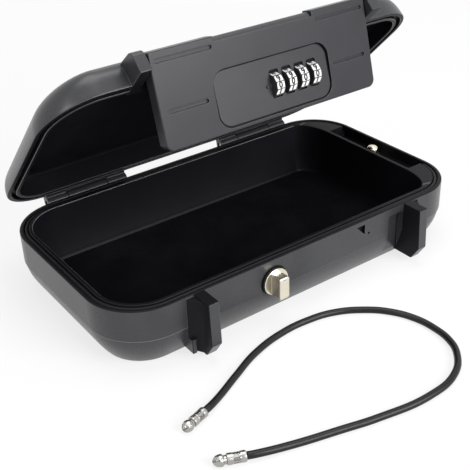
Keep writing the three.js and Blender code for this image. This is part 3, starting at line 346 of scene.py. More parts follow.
def prism(outline: Sequence[Vector], along: Vector, radius: float = 0.4 * MM,
          steps: int = 3, sharper: float = 30) -> bmesh.types.BMesh:
    """Carry a flat outline along a straight line.

    Args:
        outline: The outline's points.
        along: How far and where the outline is carried.
        radius: Rounding of the edges.
        steps: Faces across a rounding.
        sharper: Turn in degrees past which an edge is rounded.

    Returns:
        The prism.
    """
    mesh = bmesh.new()
    face = mesh.faces.new([mesh.verts.new(point) for point in outline])
    grown = bmesh.ops.extrude_face_region(mesh, geom=[face])["geom"]
    verts = [item for item in grown if isinstance(item, bmesh.types.BMVert)]
    bmesh.ops.translate(mesh, vec=along, verts=verts)
    bmesh.ops.recalc_face_normals(mesh, faces=mesh.faces)
    rounded(mesh, radius, steps, sharper)
    return mesh


def prism_x(profile: Sequence[tuple[float, float]], x0: float, x1: float,
            radius: float = 0.4 * MM, steps: int = 3, sharper: float = 30) -> bmesh.types.BMesh:
    """Carry a profile of (y, z) points from x0 to x1, with rounded edges."""
    outline = [Vector((x0, y, z)) for y, z in profile]
    return prism(outline, Vector((x1 - x0, 0, 0)), radius, steps, sharper)


def rounded_outline(x: Sequence[float], z: Sequence[float], lower: float,
                    upper: float, y: float, steps: int = 10) -> list[Vector]:
    """Make an upright outline with round corners.

    Args:
        x: Left and right.
        z: Low and high.
        lower: Radius of the two lower corners.
        upper: Radius of the two upper corners.
        y: The outline's place along Y.
        steps: Faces in each corner.

    Returns:
        The outline's points.
    """
    corners = (
        (x[1] - lower, z[0] + lower, lower, -90), (x[1] - upper, z[1] - upper, upper, 0),
        (x[0] + upper, z[1] - upper, upper, 90), (x[0] + lower, z[0] + lower, lower, 180),
    )
    points = []
    for centre_x, centre_z, radius, start in corners:
        for cos, sin in arc(90, steps, start):
            points.append(Vector((centre_x + radius * cos, y, centre_z + radius * sin)))
    return points


def turned(profile: Sequence[tuple[float, float]], centre: Vector, axis: Vector,
           steps: int = 48, radius: float = 0) -> bmesh.types.BMesh:
    """Turn a profile of (radius, along) points into a round solid.

    Args:
        profile: Points from the axis, outwards and back to the axis.
        centre: Where the axis starts.
        axis: The axis's direction.
        steps: Faces round it.
        radius: Rounding of the sharp rims.

    Returns:
        The round solid.
    """
    mesh = bmesh.new()
    verts = [mesh.verts.new((r, 0, along)) for r, along in profile]
    edges = [mesh.edges.new(pair) for pair in zip(verts, verts[1:])]
    bmesh.ops.spin(mesh, geom=verts + edges, cent=(0, 0, 0), axis=(0, 0, 1),
                   angle=2 * math.pi, steps=steps, use_merge=True)
    bmesh.ops.remove_doubles(mesh, verts=mesh.verts, dist=1e-7)
    bmesh.ops.recalc_face_normals(mesh, faces=mesh.faces)
    rounded(mesh, radius, 2, 40)
    turn = Vector((0, 0, 1)).rotation_difference(axis.normalized()).to_matrix().to_4x4()
    bmesh.ops.transform(mesh, matrix=Matrix.Translation(centre) @ turn, verts=mesh.verts)
    return mesh


def rod_x(radius: float, x0: float, x1: float, y: float, z: float,
          steps: int = 40, rim: float = 0.3 * MM) -> bmesh.types.BMesh:
    """Make a round bar along X with rounded rims."""
    profile = [(0, 0), (radius, 0), (radius, x1 - x0), (0, x1 - x0)]
    return turned(profile, Vector((x0, y, z)), Vector((1, 0, 0)), steps, rim)


def rod_y(radius: float, y0: float, y1: float, x: float, z: float,
          steps: int = 40, rim: float = 0.2 * MM) -> bmesh.types.BMesh:
    """Make a round bar along Y with rounded rims."""
    profile = [(0, 0), (radius, 0), (radius, y1 - y0), (0, y1 - y0)]
    return turned(profile, Vector((x, y0, z)), Vector((0, 1, 0)), steps, rim)


def as_object(mesh: bmesh.types.BMesh, name: str) -> bpy.types.Object:
    """Put a bmesh into the scene as an object and free it.

    Args:
        mesh: The bmesh, used up.
        name: The object's name.

    Returns:
        The object.
    """
    data = bpy.data.meshes.new(name)
    mesh.to_mesh(data)
    mesh.free()
    item = bpy.data.objects.new(name, data)
    bpy.context.scene.collection.objects.link(item)
    return item


def combine(item: bpy.types.Object, others: Iterable[bmesh.types.BMesh], how: Cut) -> None:
    """Cut or join solids, one after another, into a first one.

    Args:
        item: The object that is changed.
        others: Solids that are used up.
        how: Whether they are taken away or joined.
    """
    helpers = [as_object(other, f"{item.name}_helper") for other in others]
    for helper in helpers:
        modifier = item.modifiers.new("combine", "BOOLEAN")
        modifier.operation = how.value
        modifier.solver = "MANIFOLD"
        modifier.object = helper
    graph = bpy.context.evaluated_depsgraph_get()
    made = bpy.data.meshes.new_from_object(item.evaluated_get(graph))
    item.modifiers.clear()
    item.data = made
    for helper in helpers:
        bpy.data.objects.remove(helper, do_unlink=True)


def blocks_around(frame: Matrix, turns: Iterable[int], sides: Sequence[Sequence[float]],
                  radius: float) -> list[bmesh.types.BMesh]:
    """Repeat one block round an axis.

    Args:
        frame: Places the block; its third axis is the one turned about.
        turns: The block's turns in degrees.
        sides: Lowest and highest place of the block along each axis.
        radius: Rounding of its edges.

    Returns:
        The blocks.
    """
    made = []
    for turn in turns:
        piece = block(*sides, radius, 2)
        place = frame @ Matrix.Rotation(math.radians(turn), 4, "Z")
        bmesh.ops.transform(piece, matrix=place, verts=piece.verts)
        made.append(piece)
    return made


def joined_meshes(meshes: Iterable[bmesh.types.BMesh]) -> bmesh.types.BMesh:
    """Put several bmeshes into one, as they lie.

    Args:
        meshes: The bmeshes, used up.

    Returns:
        All of them in one.
    """
    whole = bmesh.new()
    for mesh in meshes:
        data = bpy.data.meshes.new("part")
        mesh.to_mesh(data)
        mesh.free()
        whole.from_mesh(data)
        bpy.data.meshes.remove(data)
    return whole


class Nodes:
    """Small helper that lays out one material's nodes."""

    def __init__(self, name: str) -> None:
        """Start an empty node material with its output and shader.

        Args:
            name: The material's name.
        """
        self.material = bpy.data.materials.new(name)
        self.material.use_nodes = True
        self.tree = self.material.node_tree
        self.tree.nodes.clear()
        self.output = self.add("ShaderNodeOutputMaterial")
        self.shader = self.add("ShaderNodeBsdfPrincipled")
        self.link(self.shader, "BSDF", self.output, "Surface")
        self.place = self.add("ShaderNodeTexCoord")

    def add(self, kind: str, **settings: object) -> bpy.types.Node:
        """Add a node and set its properties.

        Args:
            kind: The node's type.
            **settings: Its properties by name.

        Returns:
            The node.
        """
        node = self.tree.nodes.new(kind)
        for key, value in settings.items():
            setattr(node, key, value)
        return node

    def link(self, source: bpy.types.Node, out: str | int, target: bpy.types.Node,
             into: str | int) -> None:
        """Link two sockets."""
        self.tree.links.new(source.outputs[out], target.inputs[into])

    def noise(self, scale: float, detail: float = 3, roughness: float = 0.5,
              stretch: Vector | None = None) -> bpy.types.Node:
        """Add noise on Object coordinates.

        Args:
            scale: Cells for each metre.
            detail: Octaves.
            roughness: Strength of the finer octaves.
            stretch: Scales along the three axes for a drawn-out grain.

        Returns:
            The noise node.
        """
        node = self.add("ShaderNodeTexNoise")
        node.inputs["Scale"].default_value = scale
        node.inputs["Detail"].default_value = detail
        node.inputs["Roughness"].default_value = roughness
        if stretch is None:
            self.link(self.place, "Object", node, "Vector")
        else:
            mapping = self.add("ShaderNodeMapping")
            mapping.inputs["Scale"].default_value = stretch
            self.link(self.place, "Object", mapping, "Vector")
            self.link(mapping, "Vector", node, "Vector")
        return node

    def span(self, source: bpy.types.Node, out: str | int, low: float, high: float,
             to_low: float, to_high: float) -> bpy.types.Node:
        """Map a value from one range onto another, clamped.

        Args:
            source: Node that gives the value.
            out: Its output.
            low: Value that becomes the first result.
            high: Value that becomes the second.
            to_low: The first result.
            to_high: The second result.

        Returns:
            The mapping node.
        """
        node = self.add("ShaderNodeMapRange", clamp=True)
        names = ("From Min", "From Max", "To Min", "To Max")
        for name, value in zip(names, (low, high, to_low, to_high), strict=True):
            node.inputs[name].default_value = value
        self.link(source, out, node, "Value")
        return node

    def blend(self, factor: bpy.types.Node, a: Sequence[float] | bpy.types.Node,
              b: Sequence[float]) -> bpy.types.Node:
        """Mix two colours by a factor node's first output.

        Args:
            factor: Node that gives the factor.
            a: Colour, or mixing node, at factor 0.
            b: Colour at factor 1.

        Returns:
            The mixing node.
        """
        node = self.add("ShaderNodeMix", data_type="RGBA")
        self.link(factor, 0, node, 0)
        if isinstance(a, bpy.types.Node):
            self.link(a, MIXED, node, COLOUR_A)
        else:
            node.inputs[COLOUR_A].default_value = (*a, 1)
        node.inputs[COLOUR_B].default_value = (*b, 1)
        return node


def seen_directly(tree: bpy.types.NodeTree) -> bpy.types.Node:
    """Add a node that is 1 on camera, glossy and transmission rays.

    Args:
        tree: The tree that it is added to.

    Returns:
        The node.
    """
    path = tree.nodes.new("ShaderNodeLightPath")
    through, direct = (tree.nodes.new("ShaderNodeMath") for _ in range(2))
    through.operation = direct.operation = "MAXIMUM"
    tree.links.new(path.outputs["Is Glossy Ray"], through.inputs[0])
    tree.links.new(path.outputs["Is Transmission Ray"], through.inputs[1])
    tree.links.new(path.outputs["Is Camera Ray"], direct.inputs[0])
    tree.links.new(through.outputs[0], direct.inputs[1])
    return direct


@dataclass(frozen=True)
class Finish:
    """A surface with a grain, a slow change of tone and lighter edges, partly wear and partly a
    painted highlight.

    Args:
        name: The material's name.
        colour: Linear base colour.
        roughness: Middle roughness.
        metallic: 0 for coats and plastics, 1 for bare metal.
        grain: Cells for each metre of the fine grain.
        relief: Height of the grain in metres.
        mottle: Share by which the tone varies.
        edge_colour: Edge colour, partly wear and partly a painted highlight.
        edge_share: How strongly the edges show it.
        edge_radius: Width of the rounding that the light sees.
        brushed: Stretch of the grain along the three axes, or None.
        specular: Strength of the reflection at right angles.
    """

    name: str
    colour: tuple[float, float, float]
    roughness: float
    metallic: float = 0.0
    grain: float = 1400.0
    relief: float = 0.00003
    mottle: float = 0.12
    edge_colour: tuple[float, float, float] = (0.3, 0.3, 0.31)
    edge_share: float = 0.35
    edge_radius: float = 0.0005
    brushed: tuple[float, float, float] | None = None
    specular: float = 0.5

    def build(self) -> bpy.types.Material:
        """Make the material.

        Returns:
            The finished node material.
        """
        nodes = Nodes(self.name)
        shader = nodes.shader
        stretch = Vector(self.brushed) if self.brushed else None
        shader.inputs["Metallic"].default_value = self.metallic
        shader.inputs["Specular IOR Level"].default_value = self.specular
        grain = nodes.noise(self.grain, 4, 0.55, stretch)
        # A slow change of tone over the surface
        tone = nodes.noise(38, 4, 0.6)
        spots = nodes.span(tone, 0, 0.3, 0.7, 0, 1)
        darker = tuple(c * (1 - self.mottle) for c in self.colour)
        lighter = tuple(c * (1 + self.mottle) for c in self.colour)
        base = nodes.blend(spots, darker, lighter)
        # Lighter edges, partly wear and partly a painted highlight, broken up by a coarser noise
        edge = nodes.add("ShaderNodeBevel", samples=6)
        edge.inputs["Radius"].default_value = self.edge_radius
        flat = nodes.add("ShaderNodeNewGeometry")
        turn = nodes.add("ShaderNodeVectorMath", operation="DOT_PRODUCT")
        nodes.link(edge, "Normal", turn, 0)
        nodes.link(flat, "Normal", turn, 1)
        edge_patch_noise = nodes.noise(260, 3, 0.6)
        edge_mask = nodes.span(turn, 1, 0.995, 0.86, 0, self.edge_share)
        patch = nodes.span(edge_patch_noise, 0, 0.32, 0.62, 0.35, 1)
        edge_wear_and_highlight_factor = nodes.add("ShaderNodeMath", operation="MULTIPLY")
        nodes.link(edge_mask, 0, edge_wear_and_highlight_factor, 0)
        nodes.link(patch, 0, edge_wear_and_highlight_factor, 1)
        colour = nodes.blend(edge_wear_and_highlight_factor, base, self.edge_colour)
        nodes.link(colour, MIXED, shader, "Base Color")
        # Gloss and relief follow the fine grain
        gloss = nodes.span(grain, 0, 0.3, 0.7, self.roughness * 0.86, min(1, self.roughness * 1.14))
        nodes.link(gloss, 0, shader, "Roughness")
        bump = nodes.add("ShaderNodeBump")
        bump.inputs["Strength"].default_value = 0.6
        bump.inputs["Distance"].default_value = self.relief
        nodes.link(grain, 0, bump, "Height")
        nodes.link(edge, "Normal", bump, "Normal")
        nodes.link(bump, "Normal", shader, "Normal")
        return nodes.material


# Most finishes tint their edges lighter, partly as wear and partly as a painted highlight
FINISHES = {
    Slot.BLACK: Finish("satin_black_coat", (0.034, 0.0345, 0.038), 0.3, edge_share=0.5,
                       edge_colour=(0.2, 0.205, 0.22), specular=0.45),
    Slot.FLAP: Finish("graphite_flap_coat", (0.025, 0.025, 0.03), 0.33, edge_share=0.5,
                      edge_colour=(0.22, 0.22, 0.24), relief=0.00002, specular=0.3),
    Slot.NICKEL: Finish("warm_nickel", (0.78, 0.73, 0.6), 0.24, metallic=1, grain=2600,
                        relief=0.000008, mottle=0.06, edge_colour=(0.95, 0.93, 0.85)),
    Slot.STEEL: Finish("drawn_steel", (0.4, 0.39, 0.37), 0.26, metallic=1, grain=900,
                       brushed=(0.1, 3, 3), relief=0.00001, mottle=0.08,
                       edge_colour=(0.8, 0.8, 0.8)),
    Slot.BRASS: Finish("turned_brass", (0.66, 0.48, 0.22), 0.3, metallic=1, grain=1500,
                       brushed=(3, 0.3, 0.3), relief=0.00001, edge_colour=(0.85, 0.7, 0.4)),
    Slot.SEAL: Finish("seal_rubber", (0.008, 0.008, 0.009), 0.5, grain=2200, specular=0.2,
                      relief=0.00002, edge_share=0.1, edge_colour=(0.03, 0.03, 0.03)),
    Slot.FOAM: Finish("lining_foam", (0.009, 0.0085, 0.011), 0.95, grain=1700, relief=0.00035,
                      mottle=0.3, edge_share=0.0, specular=0.02),
    Slot.CABLE: Finish("cable_vinyl", (0.005, 0.005, 0.0055), 0.34, grain=420, relief=0.00004,
                       mottle=0.2, edge_share=0.0, specular=0.3),
    Slot.WHEEL: Finish("wheel_plastic", (0.86, 0.86, 0.84), 0.34, grain=2600, relief=0.00001,
                       mottle=0.03, edge_colour=(0.6, 0.6, 0.58), edge_share=0.3,
                       edge_radius=0.0002),
}


@dataclass
class Workshop:
    """Dresses pieces: materials, names, bodies and slots.

    Args:
        materials: Built materials by slot.
        inside: Coat painted darker as shade: in hollows, grooves, holes and channels, on rims and
            fin sides.
        ink: Black of the printed digits.
        dull: Nickel painted darker as shade, on the blade's left side.
        bright: Lighter coat painted along edges as a highlight.
        side: Grey of the wheels between their flats.
    """

    materials: dict[Slot, bpy.types.Material] = field(default_factory=dict)
    inside: bpy.types.Material | None = None
    ink: bpy.types.Material | None = None
    dull: bpy.types.Material | None = None
    bright: bpy.types.Material | None = None
    side: bpy.types.Material | None = None

    def prepare(self) -> None:
        """Build every material once."""
        for slot, finish in FINISHES.items():
            self.materials[slot] = finish.build()
        # A coat painted darker, standing for the shade in hollows and on faces turned from the
        # lamps
        self.inside = Finish("shade_painted_black_coat", (0.008, 0.0075, 0.01), 0.45, specular=0.1,
                             edge_colour=(0.05, 0.05, 0.055), edge_share=0.2).build()
        self.side = Finish("wheel_side_grey", (0.03, 0.03, 0.033), 0.45, edge_share=0.2,
                           specular=0.3).build()
        # A lighter coat painted along the parting line and the lip as a highlight
        self.bright = Finish("painted_highlight_coat", (0.15, 0.15, 0.16), 0.28, edge_share=0.2,
                             specular=0.4).build()
        # Nickel painted darker, standing for shade on the blade's left side
        self.dull = Finish("shade_painted_nickel", (0.3, 0.27, 0.22), 0.4, metallic=0.6, grain=2600,
                           relief=0.00001, edge_colour=(0.7, 0.66, 0.56)).build()
        self.ink = Finish("digit_ink", (0.006, 0.006, 0.007), 0.5, edge_share=0.0).build()

    def dress(self, item: bpy.types.Object, slot: Slot, body: str,
              replaces: Sequence[str] = (), rest: Matrix | None = None,
              more: Sequence[bpy.types.Material] = (), smooth: float = 32) -> None:
        """Finish a new piece.

        Args:
            item: The piece, drawn with the lid shut.
            slot: The record's slot for its finish.
            body: The body that it rides on.
            replaces: Nodes that it stands for.
            rest: Turn from the shut place to the rest.
            more: Materials after the first one.
            smooth: Edges that turn by more degrees than this stay sharp.
        """
        if rest is not None:
            item.data.transform(rest)
        item.data.materials.clear()
        item.data.materials.append(self.materials[slot])
        for material in more:
            item.data.materials.append(material)
        item.data.shade_smooth()
        item.data.set_sharp_from_angle(angle=math.radians(smooth))
        even = item.modifiers.new("even_shading", "WEIGHTED_NORMAL")
        even.keep_sharp = True
        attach(item, body)
        if replaces:
            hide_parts(*replaces)
        log.info("%s: %d faces on %s", item.name, len(item.data.polygons), body)

    def carry_over(self, nodes: dict[str, bpy.types.Object], names: Sequence[str],
                   slot: Slot) -> None:
        """Give nodes that stay their finish.

        Args:
            nodes: The frame's nodes by name.
            names: The nodes that stay.
            slot: Their finish.
        """
        for name in names:
            node = nodes[name]
            node.data.materials.clear()
            node.data.materials.append(self.materials[slot])
            log.info("%s keeps its shape", name)


def faces_where(item: bpy.types.Object,
                inside: Callable[[bpy.types.MeshPolygon], bool]) -> list[int]:
    """List the faces that pass a test, by number."""
    return [face.index for face in item.data.polygons if inside(face)]


def paint(item: bpy.types.Object, place: int, faces: Iterable[int]) -> None:
    """Give faces another of the piece's materials.

    Args:
        item: The piece.
        place: The material's place in the piece.
        faces: The faces' numbers.
    """
    for index in faces:
        item.data.polygons[index].material_index = place


@dataclass
class BaseTray:
    """The lower tray with its fins, hinge knuckles, seal, lock post and stud.

    Args:
        safe: Shared sizes.
        shop: Where pieces are dressed.
        parting: Height of the parting line.
        bottom_inset: How far the underside is in.
        floor: Height of the compartment's floor.
        fillet: Radius between the compartment's walls and floor.
        seam: Width of the step at the parting line.
        groove_depth: Depth of the seal's groove.
        compartment_right: X of the compartment's right wall.
        channel_left: X of the channel's left wall.
        channel_half: Half the channel's length.
        channel_depth: How deep the channel lies under the rim.
        stud_x: X of the stud.
        stud_y: Y of the stud.
        fin_inner: Side of a fin that faces the flap.
        fin_outer: Its other side.
        fin_z: Foot and top of a fin.
        gusset: How far the web beside a fin stands out from it.
        post_z: Height of the lock post.
        post_radius: Radius of its disc.
        post_hole: Radius of the hole round it.
        post_front: Y of the disc's face.
        post_back: Y of the disc's back.
        blade_half: Half the blade's width.
        blade_z: Lower and upper edge of the blade.
        blade_tip: How far the blade stands out of the front wall.
    """

    safe: Safe
    shop: Workshop
    parting: float = 18.6 * MM
    bottom_inset: float = 8.8 * MM
    floor: float = 2.6 * MM
    fillet: float = 5 * MM
    seam: float = 0.6 * MM
    groove_depth: float = 4 * MM
    compartment_right: float = 101.8 * MM
    channel_left: float = 104 * MM
    channel_half: float = 36.5 * MM
    channel_depth: float = 7.3 * MM
    stud_x: float = 111.5 * MM
    stud_y: float = 2.5 * MM
    fin_inner: float = 69.6 * MM
    fin_outer: float = 75.9 * MM
    fin_z: tuple[float, float] = (4.1 * MM, 37.1 * MM)
    gusset: float = 4.9 * MM
    post_z: float = 24.3 * MM
    post_radius: float = 7.8 * MM
    post_hole: float = 8.5 * MM
    post_front: float = -68.3 * MM
    post_back: float = -67.35 * MM
    blade_half: float = 3.4 * MM
    blade_z: tuple[float, float] = (16.8 * MM, 30 * MM)
    blade_tip: float = 8.9 * MM

    def lower_inset(self, z: float) -> float:
        """How far the lower skin is in at a height."""
        drop = 1 - z / self.parting
        return self.seam + (self.bottom_inset - self.seam) * drop**1.7

    def skin(self) -> bmesh.types.BMesh:
        """Loft the whole tray, from its underside out over the rim and down to its floor.

        Returns:
            The closed tray.
        """
        safe, plan = self.safe, self.safe.plan
        rim = safe.base_height
        right = plan.length / 2 - self.compartment_right
        rings = [plan.ring(0, self.bottom_inset + 1.2 * MM),
                 plan.ring(0.25 * MM, self.bottom_inset + 0.2 * MM)]
        for share in (0.05, 0.12, 0.22, 0.34, 0.48, 0.64, 0.8, 0.95):
            z = share * self.parting
            rings.append(plan.ring(z, self.lower_inset(z)))
        for rise, inset in ((-0.3, 0.6), (-0.05, 0.55), (0.1, 0.12), (0.5, 0)):
            rings.append(plan.ring(self.parting + rise * MM, inset * MM))
        round_rim = 0.9 * MM
        for cos, sin in arc(90, 4):
            rings.append(plan.ring(rim - round_rim * (1 - sin), round_rim * (1 - cos)))
        inner = safe.rim_wall + safe.groove
        edge = safe.rim_edge
        low = rim - self.groove_depth
        rings += [plan.ring(z, inset) for z, inset in (
            (rim, safe.rim_wall - edge), (rim - edge, safe.rim_wall), (low, safe.rim_wall),
            (low, inner), (rim - edge, inner), (rim, inner + edge))]
        lip = safe.lip_inner
        rings += [plan.ring(rim, lip - edge, right - edge), plan.ring(rim - edge, lip, right),
                  plan.ring(self.parting, lip, right)]
        for cos, sin in arc(90, 6):
            z, round_in = self.floor + self.fillet * (1 - sin), self.fillet * (1 - cos)
            rings.append(plan.ring(z, lip + 3.75 * MM + round_in, right + 1.5 * MM + round_in))
        return loft(rings)

    def fin(self, side: int) -> list[bmesh.types.BMesh]:
        """Make one front fin, the web beside it and its foot.

        Args:
            side: -1 for the left, 1 for the right.

        Returns:
            Solids that belong to the tray.
        """
        front = self.safe.front
        buried = front + 7 * MM
        low, top = self.fin_z
        profile = [
            (front + 1.2 * MM, top), (-78.7 * MM, top), (-79.8 * MM, 12.3 * MM),
            (-74.3 * MM, low), (front + self.bottom_inset, low),
        ]
        outer = side * (self.fin_outer + self.gusset)
        root = side * (self.fin_outer - 0.6 * MM)
        web = [Vector((x, y, 5 * MM)) for x, y in (
            (root, buried), (outer, buried), (outer, front - 0.6 * MM),
            (side * (self.fin_outer + 3.2 * MM), front - 2 * MM), (root, -74.6 * MM))]
        return [
            prism_x(profile, *sorted((side * self.fin_inner, side * self.fin_outer)), 0.5 * MM),
            prism(web, Vector((0, 0, 31 * MM)), 0.3 * MM),
            block(sorted((outer, outer - side * 2.6 * MM)), (-69.8 * MM, buried),
                  (4.2 * MM, 13 * MM), 0.5 * MM),
        ]

    def knuckles(self) -> list[bmesh.types.BMesh]:
        """Make the rear barrels of the tray with their webs.

        Returns:
            Solids that belong to the tray.
        """
        safe = self.safe
        made = []
        near, far = 50.1 * MM, 76.3 * MM
        for x0, x1 in ((-far, -near), (near, far)):
            made.append(rod_x(safe.knuckle, x0, x1, safe.hinge_y, safe.hinge_z))
            made.append(block((x0, x1), (safe.back - safe.rim_wall, safe.hinge_y),
                              (safe.hinge_z - safe.knuckle, safe.hinge_z - 0.5 * MM)))
        return made

    def cuts(self) -> list[bmesh.types.BMesh]:
        """Make what is taken out of the tray.

        Returns:
            The channel, seat, side recess, pocket, pinhole and post hole.
        """
        safe = self.safe
        rim = safe.base_height
        channel_floor = rim - self.channel_depth
        out = safe.front - 2 * MM
        channel = block(
            (self.channel_left, safe.plan.length / 2 - safe.rim_wall),
            (-self.channel_half, self.channel_half), (channel_floor, rim + 3 * MM), 1.2 * MM)
        radius, tall = 5.6 * MM, 3 * MM
        seat = turned([(0, 0), (radius, 0), (radius, tall), (0, tall)],
                      Vector((self.stud_x, self.stud_y, channel_floor - 0.8 * MM)),
                      Vector((0, 0, 1)))
        side = block((58 * MM, self.fin_inner), (out, safe.front + 4 * MM),
                     (6 * MM, 32.6 * MM), 1 * MM)
        corners = ((33.1, 34.2), (39.5, 34.2), (39.5, 27.8))
        pocket = prism([Vector((x * MM, out, z * MM)) for x, z in corners],
                       Vector((0, 4 * MM, 0)), 0.2 * MM)
        pinhole = rod_y(0.8 * MM, out, safe.front + 2 * MM, 42.8 * MM, 27.6 * MM, 20)
        post = rod_y(self.post_hole, out, safe.front + 2.4 * MM, safe.post_x, self.post_z, 64)
        return [channel, seat, side, pocket, pinhole, post]

    def build(self) -> None:
        """Build the tray and everything that rides on it, apart from the cable."""
        safe, shop = self.safe, self.shop
        tray = as_object(self.skin(), "tray_shell")
        extras = [*self.fin(-1), *self.fin(1), *self.knuckles()]
        combine(tray, extras, Cut.JOIN)
        combine(tray, self.cuts(), Cut.TAKE_AWAY)
        combine(tray, [safe.hinge_bore()], Cut.TAKE_AWAY)
        shop.dress(tray, Slot.BLACK, "base", ["base_shell"], more=[shop.inside, shop.bright])

        def in_dark(face: bpy.types.MeshPolygon) -> bool:
            """True where shade is painted: in the compartment and the seal's groove, on the rim, in
            the small cuts of the front and in the post's hole.

            Args:
                face: A face of the tray.

            Returns:
                Whether it gets the coat painted darker as shade.
            """
            middle, normal = face.center, face.normal
            inset = safe.plan.inset_at(middle)
            high = middle.z < safe.base_height - 0.2 * MM
            held = inset > safe.lip_inner - 0.4 * MM and middle.z > self.floor - 0.2 * MM
            groove = inset > safe.rim_wall - 0.1 * MM and middle.z > self.parting + 1 * MM
            cut = 32 * MM < middle.x < 44 * MM and inset > 0.05 * MM and middle.z > 26 * MM
            away = math.hypot(middle.x - safe.post_x, middle.z - self.post_z)
            hole = away < self.post_hole + 0.1 * MM and inset > 0.05 * MM and middle.y < 0
            rim = (middle.z > safe.base_height - 3 * MM and normal.z > 0.3
                   and (0 < inset < safe.lip_inner - 0.38 * MM or inset > safe.lip_inner))
            return high and normal.z > -0.05 and (held or groove) or cut or hole or rim

        def on_edge(face: bpy.types.MeshPolygon) -> bool:
            """True where a highlight is painted: along the parting line's edge and the lip's inner
            edge.

            Args:
                face: A face of the tray.

            Returns:
                Whether it gets the lighter coat painted as a highlight.
            """
            middle, normal = face.center, face.normal
            inset = safe.plan.inset_at(middle)
            front = abs(middle.x) < 81 * MM and middle.y < -60 * MM
            line = 0 < middle.z - self.parting < 0.45 * MM and inset < 0.5 * MM and not front
            lip = (middle.z > safe.base_height - 0.36 * MM and 0.3 < normal.z < 0.9
                   and abs(inset - safe.lip_inner + 0.17 * MM) < 0.2 * MM)
            return line or lip

        def on_fin(face: bpy.types.MeshPolygon) -> bool:
            """True where shade is painted on the fins: on their tops and their left sides.

            Args:
                face: A face of the tray.

            Returns:
                Whether it gets the coat painted darker as shade.
            """
            middle, normal = face.center, face.normal
            beside = self.fin_inner - 0.5 * MM < abs(middle.x) < self.fin_outer + 5.2 * MM
            return beside and middle.y < safe.front - 0.3 * MM and (
                normal.x < -0.4 or normal.z > 0.35)

        # Paint shade into the hollows, on the rim and on the fins' tops and left sides, and a
        # highlight along the parting line and the lip
        for place, inside in ((SECOND, in_dark), (THIRD, on_edge), (SECOND, on_fin)):
            paint(tray, place, faces_where(tray, inside))
        self.seal()
        self.post()
        self.stud()

    def seal(self) -> None:
        """Lay the rubber seal in the rim's groove, with a rounded back."""
        safe, plan = self.safe, self.safe.plan
        outer = safe.rim_wall + safe.fit
        inner = safe.rim_wall + safe.groove - safe.fit
        low = safe.base_height - self.groove_depth + safe.fit
        top = safe.base_height - safe.rim_edge
        half = (inner - outer) / 2
        rings = [plan.ring(low, outer)]
        for cos, sin in arc(180, 8):
            rings.append(plan.ring(top - half * (1 - sin), outer + half * (1 - cos)))
        rings.append(plan.ring(low, inner))
        ring = as_object(loft(rings, True), "seal_ring")
        reach = self.channel_half + 1 * MM
        gap = block((self.compartment_right, plan.length), (-reach, reach), (0, 0.06), 0)
        combine(ring, [gap], Cut.TAKE_AWAY)
        self.shop.dress(ring, Slot.SEAL, "base", ["rim_gasket"])

    def post(self) -> None:
        """Make the nickel post: a disc and the blade that the lock grips."""
        x, wall, front, half = self.safe.post_x, self.safe.front, self.post_front, self.blade_half
        disc = as_object(rod_y(self.post_radius, front, self.post_back, x, self.post_z, 64,
                               0.35 * MM), "post_disc")
        blade = prism(
            rounded_outline((x - half, x + half), self.blade_z, 1.5 * MM, 1.5 * MM,
                            wall - self.blade_tip, 6),
            Vector((0, self.blade_tip + 0.7 * MM, 0)), 0.75 * MM, 3, 60)
        shank = rod_y(2.5 * MM, front, wall + 7 * MM, x, self.post_z)
        combine(disc, [blade, shank], Cut.JOIN)
        dimple = rod_y(0.45 * MM, wall - 10 * MM, wall - 8.2 * MM, x - 0.2 * MM, 28.6 * MM, 16, 0)
        notch = block((x + half - 2.2 * MM, x + half + 1 * MM), (-74.8 * MM, -71.2 * MM),
                      (25.2 * MM, 28.3 * MM), 0.15 * MM)
        combine(disc, [dimple, notch], Cut.TAKE_AWAY)
        self.shop.dress(disc, Slot.NICKEL, "base", ["lock_post"], more=[self.shop.dull])
        # The blade's left side gets the nickel painted darker as shade
        paint(disc, SECOND, faces_where(
            disc, lambda face: face.normal.x < -0.6 and face.center.y < front - 0.1 * MM))

    def stud(self) -> None:
        """Turn the domed stud that holds the cable's loop."""
        floor = self.safe.base_height - self.channel_depth - 0.5 * MM
        shank, flange, head, dome = 2.5 * MM, 5.3 * MM, 3.8 * MM, 2.2 * MM
        foot = floor - 9.8 * MM
        neck = floor + 3.4 * MM
        brow = neck + 1.5 * MM
        profile = [(0, foot), (shank, foot), (shank, floor), (flange, floor),
                   (flange, floor + 0.7 * MM), (flange - 0.3 * MM, floor + 1 * MM),
                   (shank, floor + 1.1 * MM), (shank, neck), (head - 0.2 * MM, neck + 0.3 * MM),
                   (head, neck + 0.6 * MM), (head, brow)]
        profile += [(head * cos, brow + dome * sin) for cos, sin in arc(90, 8)[1:]]
        centre = Vector((self.stud_x, self.stud_y, 0))
        stud = as_object(turned(profile, centre, Vector((0, 0, 1))), "cable_stud_head")
        self.shop.dress(stud, Slot.NICKEL, "base", ["cable_stud"])


